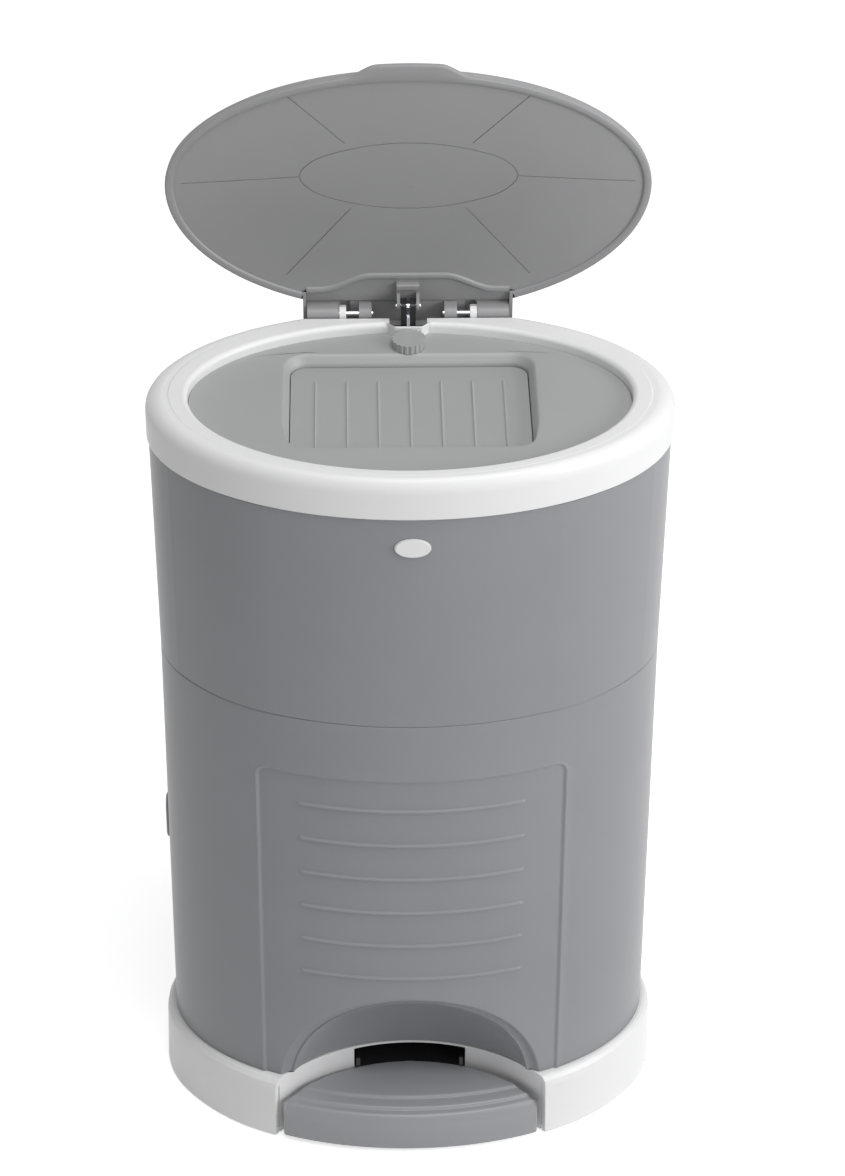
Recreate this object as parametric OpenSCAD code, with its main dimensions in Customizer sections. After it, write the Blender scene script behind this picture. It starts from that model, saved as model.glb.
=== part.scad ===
// A step-pedal nappy bin: oval body in two storeys, white collar and base, hinged lid lifted
// by a rod from the pedal, a sprung trap flap in the deck, and a door for the full bag.
// Origin at the middle of the footprint on the floor, +Z up, the pedal towards -Y.

/* [Body] */
// Half of the body's width
body_half_w = 180; // [172:1:188]
// Half of the body's depth
body_half_d = 110; // [106:1:114]
// Wall of the body's shells
wall = 3; // [2.6:0.2:3.4]
// Height of the seam between the door and the upper body
seam_z = 402; // [396:1:408]
// Height of the top of the grey body
body_top = 580; // [576:1:590]
// How far the upper body flares out from the seam to the top
body_flare = 2.3; // [1.6:0.1:3]
// Gap between two shells that meet at a seam
seam_gap = 0.5; // [0.4:0.1:0.8]
// Width of the name plate
plate_w = 25; // [22:1:28]
// Height of the name plate
plate_h = 15; // [13:1:17]
// Height of the name plate's middle below the top of the body
plate_drop = 23; // [20:1:26]

/* [Base] */
// Height of the white base
base_h = 56; // [54:0.5:58]
// How far the base stands out from the body at the floor
base_flare = 8; // [7:0.5:9]
// How far the base stands out from the body under its rounded shoulder
base_shoulder = 7; // [6:0.5:7.5]
// Radius of the round recess that the pedal sits in, seen from above
recess_r = 140; // [136:1:144]
// Distance of the recess's back wall behind the middle of the front of the body
recess_depth = 56; // [52:1:58]
// Half of the width of the slot for the pedal's lever
slot_half_w = 42.5; // [42:0.5:46]
// Height of a rubber foot below the base
foot_h = 1.5; // [1:0.25:2.5]
// Diameter of a rubber foot
foot_d = 20; // [16:1:24]

/* [Pedal] */
// Height of the pedal's front edge when it is pressed
pedal_h = 36; // [34:1:37]
// Gap under the pressed pedal
pedal_lift = 5; // [3:1:7]
// How far the pedal's front stands out from the body
pedal_reach = 10; // [8:0.5:11]
// Gap between the pedal and the recess around it
pedal_gap = 5; // [4:0.5:6]
// Step between the pedal's curved treads
tread_step = 2; // [1.5:0.25:2.25]
// Diameter of the pedal's pivot pin
pivot_d = 6; // [5:0.5:7]
// Height of the pedal's pivot
pivot_z = 30; // [28:0.5:31]

/* [Collar and deck] */
// How far the collar stands out from the body
collar_over = 3.8; // [3.4:0.2:4.6]
// Height of the collar
collar_h = 31.5; // [29:0.5:34]
// Distance of the grey deck's ends inside the body
deck_inset_w = 26; // [23:1:29]
// Distance of the grey deck's front inside the body
deck_inset_d = 21; // [19:1:23]
// Height of the collar above the deck
deck_drop = 8; // [7:0.5:9]
// Width of the flap
flap_w = 166; // [158:1:168]
// Distance of the flap's front edge behind the front of the deck
flap_inset = 32; // [31:1:36]
// Distance of the lock knob's middle in front of the rear of the deck
knob_inset = 17.2; // [16.5:0.1:17.5]
// Depth of the flap's face below the deck
flap_drop = 8.2; // [7.5:0.1:9]
// Thickness of the flap's plate
flap_t = 3; // [2.4:0.2:3.4]
// Number of ribs along the flap
flap_ribs = 7; // [5:1:9]
// Distance between two ribs of the flap
flap_pitch = 22; // [16:1:22]
// Angle through which the flap swings down
flap_swing = 80; // [70:1:85]
// Diameter of the lock knob
knob_d = 24.4; // [22:0.2:25]
// Height of the lock knob above the deck
knob_h = 6.4; // [5:0.2:8]

/* [Lid] */
// Distance of the lid's ends inside the body
lid_inset_w = 10.5; // [8:0.5:14]
// Distance of the lid's front edge inside the body
lid_inset_front = 12; // [10:0.5:14]
// Distance of the lid's rear edge inside the body
lid_inset_rear = 6; // [4:0.5:8]
// Height of the lid's rim
lid_rim_h = 8; // [7:0.5:10]
// Rise of the crown above the rim
lid_rise = 11; // [8:1:14]
// Wall of the lid's cover
lid_wall = 2.4; // [2:0.2:2.8]
// Angle to which the pressed pedal opens the lid
lid_open = 84; // [80:1:86]
// Diameter of the lid's hinge pins and of the crank pin
hinge_d = 4; // [3.6:0.2:4.4]
// Distance of the hinge inside the rear of the body
hinge_inset = 6; // [5:0.5:7]

/* [Lift rod] */
// Diameter of the lift rod
rod_d = 6; // [5:0.5:7]
// Distance of the crank pin in front of the hinge when the lid is open
crank_front = 8.5; // [8:0.25:9]
// Height of the crank pin above the hinge when the lid is open
crank_up = 11.5; // [11:0.25:12]

/* [Door] */
// Half of the width of the door's sunk panel
panel_half_w = 110; // [106:1:114]
// Height of the top edge of the sunk panel
panel_top = 352; // [340:1:360]
// Depth of the sunk panel
panel_depth = 1; // [0.6:0.1:1.2]
// Number of ribs on the door
door_ribs = 6; // [4:1:6]
// Height of the lowest rib
door_rib_z = 167; // [166:1:172]
// Distance between two ribs of the door
door_rib_pitch = 31.6; // [28:0.2:33]
// Half of the length of a rib
door_rib_half_w = 82; // [74:1:86]
// Height of the crown of the foot arch
arch_top = 146.5; // [142:0.5:150]
// Diameter of the door's hinge barrel
barrel_d = 12; // [11:0.5:13]
// Diameter of the door's hinge pins
door_pin_d = 5; // [4:0.5:6]
// Height of the latch button's middle
latch_z = 225; // [215:1:235]
// Height of the latch button
latch_h = 38; // [34:1:40]
// Width of the latch button
latch_w = 20; // [18:1:22]
// How far the latch button stands out
latch_out = 5; // [4:0.5:6]
// Travel of the latch button
latch_travel = 3.5; // [3:0.25:4]

/* [Hidden] */

grey = [0.47, 0.475, 0.49];
deck_grey = [0.55, 0.56, 0.555];
lid_grey = [0.46, 0.465, 0.465];
white = [0.93, 0.93, 0.93];
black = [0.06, 0.06, 0.065];
steel = [0.75, 0.76, 0.78];

fit = 0.05;
slip = 0.4;
skin = 0.02;
facets = 96;
small = 48;
far = 5*body_half_w;

// Every plan is an oval: half of its width, its depth in front of and behind its widest line, and
// where that line lies
deck_half_d = body_half_d - deck_inset_d;
lid_y = -5;
plan_body = [body_half_w, body_half_d, body_half_d, 0];
plan_deck = [body_half_w - deck_inset_w, deck_half_d, deck_half_d, 0];
plan_lid = [body_half_w - lid_inset_w, body_half_d - lid_inset_front + lid_y,
  body_half_d - lid_inset_rear - lid_y, lid_y];

collar_bottom = body_top + seam_gap;
collar_top = body_top + collar_h;
deck_top = collar_top - deck_drop;
deck_t = 3;
collar_t = 3;

hinge_y = body_half_d - hinge_inset;
pocket_y = hinge_y - 7;
pocket_half_w = 77;
pocket_z = collar_top - 18.5;
notch_half_w = 13.5;
notch_y = pocket_y - 13;

hinge_z = collar_top - 0.5;
pin_r = hinge_d/2;
ear_x = 42.2;
ear_w = 5;
lug_in_x = 26;
pin_x0 = lug_in_x - 1;
pin_x1 = ear_x + ear_w + 7.8;
lug_in_w = 9;
lug_out_x = 50;
lug_out_w = 5;
lid_gap = 0.6;
lid_seat = collar_top + lid_gap;

// Where the crank pin is with the lid open and shut, from the hinge, and the rod's travel
function turned(p, angle) = [p[0]*cos(angle) - p[1]*sin(angle), p[0]*sin(angle) + p[1]*cos(angle)];
crank_open = [-crank_front, crank_up];
crank_shut = turned(crank_open, lid_open);
crank_r = norm(crank_open);
rod_travel = crank_open[1] - crank_shut[1];
slot_front = crank_r;
slot_back = crank_front;
rod_y = hinge_y - (slot_front + slot_back)/2;
crank_y = hinge_y - crank_front;
crank_z = hinge_z + crank_up;
crank_shut_y = hinge_y + crank_shut[0];
crank_shut_z = hinge_z + crank_shut[1];
yoke_rise = 0.45;
yoke_slack = 0.9;

floor_z = base_h;
floor_t = 2.5;
recess_y = -body_half_d + recess_depth - recess_r;
base_floor_t = 3;
base_z0 = foot_h;
ledge_t = 2.5;
slot_z0 = pivot_z + 3;
slot_z1 = base_h - 2;

lever_top = 36.8;
lever_t = 2.8;
lever_pad = 39.7;
pivot_swing = asin(rod_travel/rod_y);
rod_z0 = lever_pad + slip + 1;
rod_z1 = crank_z - 16;
tang_half_w = 1.1;
yoke_half_w = 5.2;
yoke_gap = 1.25;
yoke_z0 = crank_z - 24.5;
yoke_y0 = rod_y - 7.4;
yoke_y1 = rod_y + 7.4;

flap_face = deck_top - flap_drop;
knob_y = deck_half_d - knob_inset;
flap_front = -deck_half_d + flap_inset;
flap_rear = knob_y - knob_d/2 - 3.6;
flap_gap = 0.9;
flap_pin_r = 2;
flap_pin_y = flap_rear - 3.5;
flap_pin_z = flap_face - 8.5;
hub_r = 4.2;
mouth_half_w = flap_w/2 + flap_gap;
mouth_front = flap_front - flap_gap;
mouth_rear = flap_rear + flap_gap;
mouth_bevel = 4;
mouth_wall = 2.5;
mouth_corner = 12;
mouth_bottom = flap_pin_z - hub_r - 1;
knob_stem_r = 4;

chute_half_w = mouth_half_w + mouth_wall + 1.5;
chute_front = mouth_front - mouth_wall - 1.5;
chute_rear = mouth_rear + mouth_wall + 1.5;
chute_wall = 2.5;
chute_bottom = 505;
shelf_z = chute_bottom - 1.5;
cassette_gap = 2.5;
cassette_w = 13;
cassette_h = 44;

barrel_x = body_half_w - barrel_d/2 + 0.1;
door_bottom = base_h + 0.6;
door_top = seam_z - seam_gap/2;
rear_edge_y = barrel_d/2 + 1;
door_edge_y = 0.5;
panel_corner = 12;
scoop_z = 40.5;
scoop_r = arch_top - scoop_z;
scoop_y = -body_half_d;
scoop_sink = recess_depth + 0.6;

latch_y = 15;
latch_x = -body_half_w;

// The plan of every shell is an oval of twelve arcs, three to a quarter. One arc hands over to
// the next where the wall faces turn_a and turn_b, so the oval stays smooth at any offset.
turn_a = [0.8, 0.6];
turn_b = [0.352, 0.936];
function quarter_mm(v) = round(4*v)/4;
function thou(v) = round(1000*v)/1000;
function plus(v, d) = [v[0] + d[0], v[1] + d[1]];

// Radii of the end, shoulder and long arcs of an oval that is a half wide and b half deep
function radii(a, b) =
  let (mid = quarter_mm(a*a*b*b/pow(a*a*turn_a[1]*turn_a[1] + b*b*turn_a[0]*turn_a[0], 1.5)),
       m11 = 1 - turn_a[0], m12 = turn_b[0], k1 = a - mid*(turn_a[0] - turn_b[0]),
       m21 = turn_a[1], m22 = 1 - turn_b[1], k2 = b - mid*(turn_b[1] - turn_a[1]),
       det = m11*m22 - m12*m21)
  [quarter_mm((k1*m22 - m12*k2)/det), mid, quarter_mm((m11*k2 - m21*k1)/det)];

// The three arcs of a quarter: radius, centre, and the directions that it runs between
function quarter_arcs(a, b) =
  let (r = radii(a, b), x2 = (r[2] - r[1])*turn_b[0], y2 = (r[0] - r[1])*turn_a[1])
  [[r[0], [x2 + (r[1] - r[0])*turn_a[0], 0], [1, 0], turn_a],
   [r[1], [x2, y2], turn_a, turn_b],
   [r[2], [0, y2 + (r[1] - r[2])*turn_b[1]], turn_b, [0, 1]]];

// Sweeps a profile of [distance outwards, height] points once round an oval plan
module band(plan, pts) {
  z0 = min([for (p = pts) p[1]]) - 1;
  z1 = max([for (p = pts) p[1]]) + 1;
  for (sx = [1, -1], sy = [1, -1], s = quarter_arcs(plan[0], sy < 0 ? plan[1] : plan[2])) {
    c = [sx*s[1][0], plan[3] + sy*s[1][1]];
    side = 2*s[0] + 100;
    intersection() {
      translate([c[0], c[1], 0]) rotate_extrude($fn = facets)
        polygon([for (p = pts) [thou(s[0] + p[0]), thou(p[1])]]);
      translate([0, 0, z0]) linear_extrude(height = z1 - z0)
        polygon([c, plus(c, side*[sx*s[2][0], sy*s[2][1]]), plus(c, side*[sx*s[3][0], sy*s[3][1]])]);
    }
  }
}

// A wall of even thickness that follows the plan, from z0 to z1
module hoop(plan, inner, outer, z0, z1) {
  band(plan, [[inner, z0], [outer, z0], [outer, z1], [inner, z1]]);
}

// How far a solid plate's arcs reach inwards, where a form has to lie wholly in them
deep_lap = 0.36*body_half_d;

// A solid plate of the plan's outline grown by off, from z0 to z1
module slab(plan, off, z0, z1, lap = 12) {
  hoop(plan, off - lap, off, z0, z1);
  core = [for (q = [[1, -1], [1, 1], [-1, 1], [-1, -1]])
    let (arcs = quarter_arcs(plan[0], q[1] < 0 ? plan[1] : plan[2]),
         turn = q[0]*q[1] > 0,
         stops = [for (s = arcs, d = [s[2], s[3]]) plus(s[1], (s[0] + off - 1)*d)])
    for (k = turn ? [0, 1, 3, 5] : [5, 3, 1, 0])
      [q[0]*stops[k][0], plan[3] + q[1]*stops[k][1]]];
  translate([0, 0, z0]) linear_extrude(height = z1 - z0) polygon(core);
}

module block(x0, x1, y0, y1, z0, z1) {
  translate([x0, y0, z0]) cube([x1 - x0, y1 - y0, z1 - z0]);
}

// An oblong with round corners, drawn between two opposite corners
module round_rect(x0, x1, y0, y1, r) {
  translate([x0 + r, y0]) square([x1 - x0 - 2*r, y1 - y0]);
  translate([x0, y0 + r]) square([x1 - x0, y1 - y0 - 2*r]);
  for (x = [x0 + r, x1 - r], y = [y0 + r, y1 - r]) translate([x, y]) circle(r = r, $fn = small);
}

module rod_along_x(x0, x1, y, z, r) {
  translate([x0, y, z]) rotate([0, 90, 0]) cylinder(r = r, h = x1 - x0, $fn = small);
}

module screw(head_d, head_h, shank_d, shank_l) {
  cylinder(d = head_d, h = head_h, $fn = small);
  translate([0, 0, head_h - 0.5]) cylinder(d = shank_d, h = shank_l + 0.5, $fn = small);
}

// The foot space: a dome that lies on its side, sunk into the front of the door
module scoop(grow) {
  steps = 8;
  translate([0, scoop_y, scoop_z]) rotate([90, 0, 0]) rotate_extrude($fn = facets)
    polygon(concat([for (i = [0:steps]) [(scoop_r + grow)*cos(90 - 90*i/steps),
      -(scoop_sink + grow)*sin(90 - 90*i/steps)]], [[scoop_r + grow, 40], [0, 40]]));
}

// Places inside the oval are given as shares of the body's half width and half depth
function place(x, y) = [x*body_half_w, y*body_half_d];
base_foot_xy = [for (s = [1, -1]) each [place(s*0.694, 0.564), place(s*0.722, -0.473)]];
base_screw_xy = [for (s = [1, -1]) each [place(s*0.556, 0.727), place(s*0.861, 0.109)]];
base_boss_x = 46;
base_boss_w = 5;

module base_skirt() {
  top = base_h;
  band(plan_body, [[base_flare - 3, base_z0], [base_flare, base_z0], [base_shoulder, top - 8],
    [base_shoulder - 0.8, top - 3.5], [base_shoulder - 3, top - 0.8], [base_shoulder - 5, top],
    [-wall - 6, top], [-wall - 6, top - ledge_t], [base_shoulder - 6, top - ledge_t],
    [base_shoulder - 3, top - 8]]);
}

module base_recess_wall() {
  intersection() {
    translate([0, recess_y, base_z0]) cylinder(r = recess_r + 2.5, h = base_h - base_z0, $fn = 2*facets);
    slab(plan_body, base_shoulder - 4, base_z0, base_h - 0.01);
  }
}

module base() {
  color(white) difference() {
    union() {
      base_skirt();
      slab(plan_body, base_shoulder - 1, base_z0 + 2, base_z0 + 2 + base_floor_t);
      base_recess_wall();
      for (s = [1, -1]) {
        block(s*base_boss_x - base_boss_w/2, s*base_boss_x + base_boss_w/2, -11, 11,
          base_z0 + 2, pivot_z + pivot_d/2 + 3.5);
        translate([barrel_x, 0, base_h - 18]) cylinder(r = barrel_d/2 + 0.5, h = 18, $fn = small);
      }
      for (p = base_screw_xy) translate([p[0], p[1], base_z0 + 2])
        cylinder(d = 11, h = base_h - base_z0 - 2, $fn = small);
      for (p = base_foot_xy) translate([p[0], p[1], base_z0 - 0.5])
        cylinder(d = foot_d + 5, h = 5.5, $fn = small);
    }
    translate([0, recess_y, -1]) cylinder(r = recess_r, h = base_h + 2, $fn = 2*facets);
    block(-slot_half_w, slot_half_w, scoop_y + recess_depth - 12, scoop_y + recess_depth + 8,
      slot_z0, slot_z1);
    rod_along_x(-base_boss_x - 6, base_boss_x + 6, 0, pivot_z, pivot_d/2 + skin);
    translate([barrel_x, 0, base_h - 14]) cylinder(d = door_pin_d + 2*skin, h = 20, $fn = small);
    for (p = base_screw_xy) {
      translate([p[0], p[1], -1]) cylinder(d = 4.4, h = base_h + 2, $fn = small);
      translate([p[0], p[1], -1]) cylinder(d = 8.6, h = 13, $fn = small);
    }
    for (p = base_foot_xy) translate([p[0], p[1], base_z0 - 1])
      cylinder(d = foot_d + 0.2, h = 3, $fn = small);
  }
}

module feet() {
  color(black) for (p = base_foot_xy) translate([p[0], p[1], 0]) {
    cylinder(d1 = foot_d - 2, d2 = foot_d, h = foot_h, $fn = small);
    translate([0, 0, foot_h - 0.01]) cylinder(d = foot_d, h = 2, $fn = small);
  }
}

module base_screws() {
  color(steel) for (p = base_screw_xy) translate([p[0], p[1], 12 - 2.4])
    screw(8, 2.4, 4, floor_z + floor_t + 7 - 12);
}

module inner_floor() {
  color(grey) difference() {
    union() {
      slab(plan_body, -wall - 1, floor_z + 0.1, floor_z + floor_t);
      for (p = base_screw_xy) translate([p[0], p[1], floor_z + 0.1]) cylinder(d = 10, h = 10, $fn = small);
    }
    translate([0, recess_y, floor_z - 1]) cylinder(r = recess_r + 10, h = 8, $fn = 2*facets);
    for (p = base_screw_xy) translate([p[0], p[1], floor_z - 1])
      cylinder(d = 4 + 2*skin, h = 13, $fn = small);
    translate([0, rod_y, floor_z - 1]) cylinder(d = rod_d + 2*fit, h = 8, $fn = small);
    translate([barrel_x, 0, floor_z - 1]) cylinder(r = barrel_d/2 + 1, h = 8, $fn = small);
  }
}

// Everything behind the line where the door's edge meets the rear shell
module behind_door() {
  block(-far, 0, door_edge_y, far, -1, far);
  block(-1, far, rear_edge_y, far, -1, far);
}

module rear_body() {
  lip = 8;
  color(grey) difference() {
    intersection() {
      union() {
        hoop(plan_body, -wall, 0, floor_z + 0.1, seam_z - seam_gap/2);
        band(plan_body, [[-wall, seam_z - 14], [-wall + 0.5, seam_z - 14], [-wall + 0.5, seam_z - seam_gap],
          [-wall - seam_gap, seam_z - seam_gap/2], [-wall - seam_gap, seam_z + lip],
          [-2*wall - seam_gap, seam_z + lip], [-2*wall - seam_gap, seam_z - 6]]);
      }
      behind_door();
    }
    latch_hole(seam_gap);
  }
}

module upper_body() {
  ledge = 17;
  top = body_flare;
  color(grey) difference() {
    union() {
      band(plan_body, [[-wall, seam_z + seam_gap/2], [0, seam_z + seam_gap/2], [top, body_top],
        [top - wall - ledge, body_top], [top - wall - ledge, body_top - 3], [top - wall, body_top - 3]]);
      intersection() {
        translate([barrel_x, 0, seam_z + seam_gap/2]) cylinder(r = barrel_d/2 + 0.5, h = 20, $fn = small);
        slab(plan_body, -0.5, seam_z, seam_z + 30);
      }
      for (s = [1, -1]) shelf_post(s);
    }
    translate([barrel_x, 0, seam_z - 1]) cylinder(d = door_pin_d + 2*skin, h = 16, $fn = small);
    block(-notch_half_w - 3, notch_half_w + 3, notch_y - 3, body_half_d - 3.2, body_top - 4, body_top + 1);
    for (s = [1, -1]) translate([s*shelf_post_x, 0, shelf_z - 15])
      cylinder(d = shelf_screw_d + 2*skin, h = 30, $fn = small);
    for (p = deck_screw_xy) translate([p[0], p[1], body_top - 5])
      cylinder(d = deck_screw_d + 2*skin, h = 8, $fn = small);
    plate_pocket();
  }
}

shelf_post_x = body_half_w - wall - 9;
shelf_t = 2.5;
shelf_screw_d = 3;
shelf_screw_l = 12;
module shelf_post(s) {
  intersection() {
    block(s*shelf_post_x - 14, s*shelf_post_x + 14, -5, 5, shelf_z - 14, shelf_z - 0.1);
    slab(plan_body, -0.5, shelf_z - 20, shelf_z + 2);
  }
}

plate_z = body_top - plate_drop;
plate_face = -body_half_d - body_flare*(plate_z - seam_z)/(body_top - seam_z);
plan_plate = [plate_w/2, plate_h/2, plate_h/2, 0];

module plate_pocket() {
  translate([0, plate_face + 0.6, plate_z]) rotate([90, 0, 0]) slab(plan_plate, slip/4, 0, 4, 2.5);
}

module name_plate() {
  color(white) translate([0, plate_face + 0.55, plate_z]) rotate([90, 0, 0]) {
    slab(plan_plate, 0, 0, 1.3, 2.5);
    slab(plan_plate, -0.7, 1, 2, 2.5);
  }
}

// The collar's outer half follows the body and its inner half follows the deck
module collar_ring(t) {
  top = collar_top;
  band(plan_body, [[collar_over - wall, collar_bottom], [collar_over, collar_bottom],
    [collar_over + 0.3, top - 19], [collar_over, top - 12], [collar_over - 2.6, top - 5],
    [collar_over - 7, top - 1.5], [collar_over - 13, top], [-15, top], [-15, top - t],
    [collar_over - 13, top - t], [collar_over - 8.5, top - t - 1.4], [collar_over - 5, top - t - 4],
    [collar_over - t, top - t - 9.5], [collar_over - t + 0.3, top - 19]]);
  band(plan_deck, [[12, top], [6, top], [2.4, top - 1.2], [0.8, top - 3.5], [0.3, deck_top - 0.6],
    [0.3, deck_top - 4], [0.3 + t, deck_top - 4], [0.3 + t, top - t - 1], [6, top - t], [12, top - t]]);
}

module collar() {
  color(white) difference() {
    union() {
      difference() {
        collar_ring(collar_t);
        block(-pocket_half_w, pocket_half_w, pocket_y, far, pocket_z, collar_top + 1);
      }
      intersection() {
        union() {
          block(-pocket_half_w - 2, pocket_half_w + 2, pocket_y - 2.5, far, pocket_z - 2.5, pocket_z);
          block(-pocket_half_w - 2, pocket_half_w + 2, pocket_y - 2.5, pocket_y, pocket_z - 2.5,
            collar_top - 1);
          for (s = [1, -1]) block(s*(pocket_half_w + 1.25) - 1.25, s*(pocket_half_w + 1.25) + 1.25,
            pocket_y - 2.5, far, pocket_z - 2.5, collar_top - 8);
        }
        slab(plan_body, 1.5, pocket_z - 3, collar_top);
      }
      for (s = [1, -1]) ear(s);
    }
    block(-notch_half_w, notch_half_w, notch_y, pocket_y + 14, pocket_z - 10, collar_top + 1);
    rod_along_x(-60, 60, hinge_y, hinge_z, pin_r + fit);
  }
}

module ear(s) {
  x0 = s > 0 ? ear_x : -ear_x - ear_w;
  translate([x0, hinge_y, hinge_z]) rotate([0, 90, 0]) cylinder(r = 6, h = ear_w, $fn = small);
  block(x0, x0 + ear_w, pocket_y - 1, hinge_y + 5, pocket_z - 1, hinge_z);
}

deck_screw_xy = [for (sx = [1, -1], sy = [1, -1]) place(sx*0.678, sy*0.636)];
deck_flange = 18;
deck_screw_d = 3.2;
deck_screw_l = 10;

module deck_mouth(grow, z0, z1) {
  translate([0, 0, z0]) linear_extrude(height = z1 - z0)
    round_rect(-mouth_half_w - grow, mouth_half_w + grow, mouth_front - grow, mouth_rear + grow,
      mouth_corner + grow - 4);
}

// The sloping edge round the mouth: it widens by mouth_bevel over the same height
module deck_bevel() {
  grow = mouth_bevel + 0.1;
  z0 = deck_top - mouth_bevel;
  r = mouth_corner - 4;
  x = mouth_half_w - r;
  side = [[-mouth_half_w, 0], [mouth_half_w, 0], [mouth_half_w + grow, grow], [-mouth_half_w - grow, grow]];
  ends = [[mouth_front, 0], [mouth_rear, 0], [mouth_rear + grow, grow], [mouth_front - grow, grow]];
  translate([0, mouth_rear - r, z0]) rotate([90, 0, 0])
    linear_extrude(height = mouth_rear - mouth_front - 2*r) polygon(side);
  translate([-x, 0, z0]) rotate([90, 0, 90]) linear_extrude(height = 2*x) polygon(ends);
  for (cx = [-x, x], cy = [mouth_front + r, mouth_rear - r]) translate([cx, cy, z0])
    cylinder(r1 = r, r2 = r + grow, h = grow, $fn = small);
}

module deck() {
  foot_z = body_top + 0.4;
  color(deck_grey) difference() {
    union() {
      slab(plan_deck, 0, deck_top - deck_t, deck_top);
      band(plan_deck, [[-deck_t, deck_top - deck_t - 0.5], [-deck_t, foot_z], [deck_flange, foot_z],
        [deck_flange, foot_z + 3], [0, foot_z + 3], [0, deck_top - 0.5], [-1, deck_top - 0.5]]);
      deck_mouth(mouth_wall, mouth_bottom, deck_top - 1);
      deck_mouth(mouth_bevel + 2, deck_top - mouth_bevel - 2.4, deck_top - 1);
    }
    deck_mouth(0, mouth_bottom - 1, deck_top + 1);
    deck_bevel();
    translate([0, knob_y, deck_top - 10]) cylinder(r = knob_stem_r + fit, h = 20, $fn = small);
    rod_along_x(-mouth_half_w - 6, mouth_half_w + 6, flap_pin_y, flap_pin_z, flap_pin_r + skin);
    block(-notch_half_w - 1, notch_half_w + 1, notch_y, deck_half_d + 30, foot_z - 1,
      deck_top - deck_t - 4);
    block(-notch_half_w + 2, notch_half_w - 2, notch_y, deck_half_d + 30, foot_z - 1, deck_top + 1);
    for (p = deck_screw_xy) translate([p[0], p[1], foot_z - 1]) cylinder(d = 3.6, h = 6, $fn = small);
  }
}

module deck_screws() {
  color(steel) for (p = deck_screw_xy) translate([p[0], p[1], body_top + 3.4 + 2.4]) mirror([0, 0, 1])
    screw(deck_screw_d + 3.8, 2.4, deck_screw_d, deck_screw_l);
}

module chute_wall_ring(grow, z0, z1) {
  translate([0, 0, z0]) linear_extrude(height = z1 - z0) difference() {
    round_rect(-chute_half_w - grow, chute_half_w + grow, chute_front - grow, chute_rear + grow, 10 + grow);
    round_rect(-chute_half_w, chute_half_w, chute_front, chute_rear, 10);
  }
}

module chute() {
  top = deck_top - deck_t - mouth_bevel + 0.2;
  color(white) {
    chute_wall_ring(chute_wall, chute_bottom, top - 0.5);
    chute_wall_ring(4.5, top - 3, top - 0.5);
  }
}

module cassette_shelf() {
  color(white) difference() {
    slab(plan_body, -wall - 1.5, shelf_z, shelf_z + shelf_t);
    translate([0, 0, shelf_z - 1]) linear_extrude(height = 5)
      round_rect(-chute_half_w + 2, chute_half_w - 2, chute_front + 2, chute_rear - 2, 10);
    translate([0, 0, shelf_z + 1.4]) linear_extrude(height = 5)
      round_rect(-chute_half_w - chute_wall - 0.3, chute_half_w + chute_wall + 0.3,
        chute_front - chute_wall - 0.3, chute_rear + chute_wall + 0.3, 12.8);
    block(-cover_half_w - 1, cover_half_w + 1, cover_front - 1, far, shelf_z - 5, shelf_z + 5);
    for (s = [1, -1]) translate([s*shelf_post_x, 0, shelf_z - 15]) cylinder(d = 3.4, h = 30, $fn = small);
  }
}

module shelf_screws() {
  color(steel) for (s = [1, -1]) translate([s*shelf_post_x, 0, shelf_z + shelf_t + 2]) mirror([0, 0, 1])
    screw(shelf_screw_d + 3.4, 2, shelf_screw_d, shelf_screw_l);
}

module bag_cassette() {
  z0 = shelf_z + 2.6;
  g = chute_wall + cassette_gap;
  color("lightblue") difference() {
    translate([0, 0, z0]) linear_extrude(height = cassette_h)
      round_rect(-chute_half_w - g - cassette_w, chute_half_w + g + cassette_w,
        chute_front - g - cassette_w, chute_rear + g + cassette_w, 24);
    translate([0, 0, z0 - 1]) linear_extrude(height = cassette_h + 2)
      round_rect(-chute_half_w - g, chute_half_w + g, chute_front - g, chute_rear + g, 13);
    translate([0, 0, z0 + 2]) linear_extrude(height = cassette_h)
      round_rect(-chute_half_w - g - cassette_w + 1.6, chute_half_w + g + cassette_w - 1.6,
        chute_front - g - cassette_w + 1.6, chute_rear + g + cassette_w - 1.6, 22.4);
  }
}

cover_half_w = 9;
cover_front = rod_y - 9;
cover_drop = 12;
cover_top = body_top - cover_drop;

module rod_cover() {
  color(grey) difference() {
    block(-cover_half_w, cover_half_w, cover_front, body_half_d - 2*wall - seam_gap - slip,
      floor_z + floor_t + 0.1, cover_top);
    block(-cover_half_w + 2, cover_half_w - 2, cover_front + 2, far, floor_z, cover_top - 8);
    translate([0, rod_y, cover_top - 10]) cylinder(d = rod_d + 2*fit, h = 20, $fn = small);
  }
}

// The pedal's plan: a lens between the bin's front and a circle inside the recess
module pedal_slice(off, gap, half_w, z0, z1) {
  intersection() {
    slab(plan_body, off, z0, z1, deep_lap);
    translate([0, recess_y, z0 - 1]) cylinder(r = recess_r - gap, h = z1 - z0 + 2, $fn = 2*facets);
    block(-half_w, half_w, -far, 0, z0 - 1, z1 + 1);
  }
}

pedal_half_w = 96.5;
tread_z = [pedal_h, pedal_h + tread_step, pedal_h + 2*tread_step];
tread_off = [0, 4, 16];
skin_t = 3;
pedal_screw_xy = [[-28, 34 - body_half_d], [28, 34 - body_half_d], [0, 26 - body_half_d]];

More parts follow.
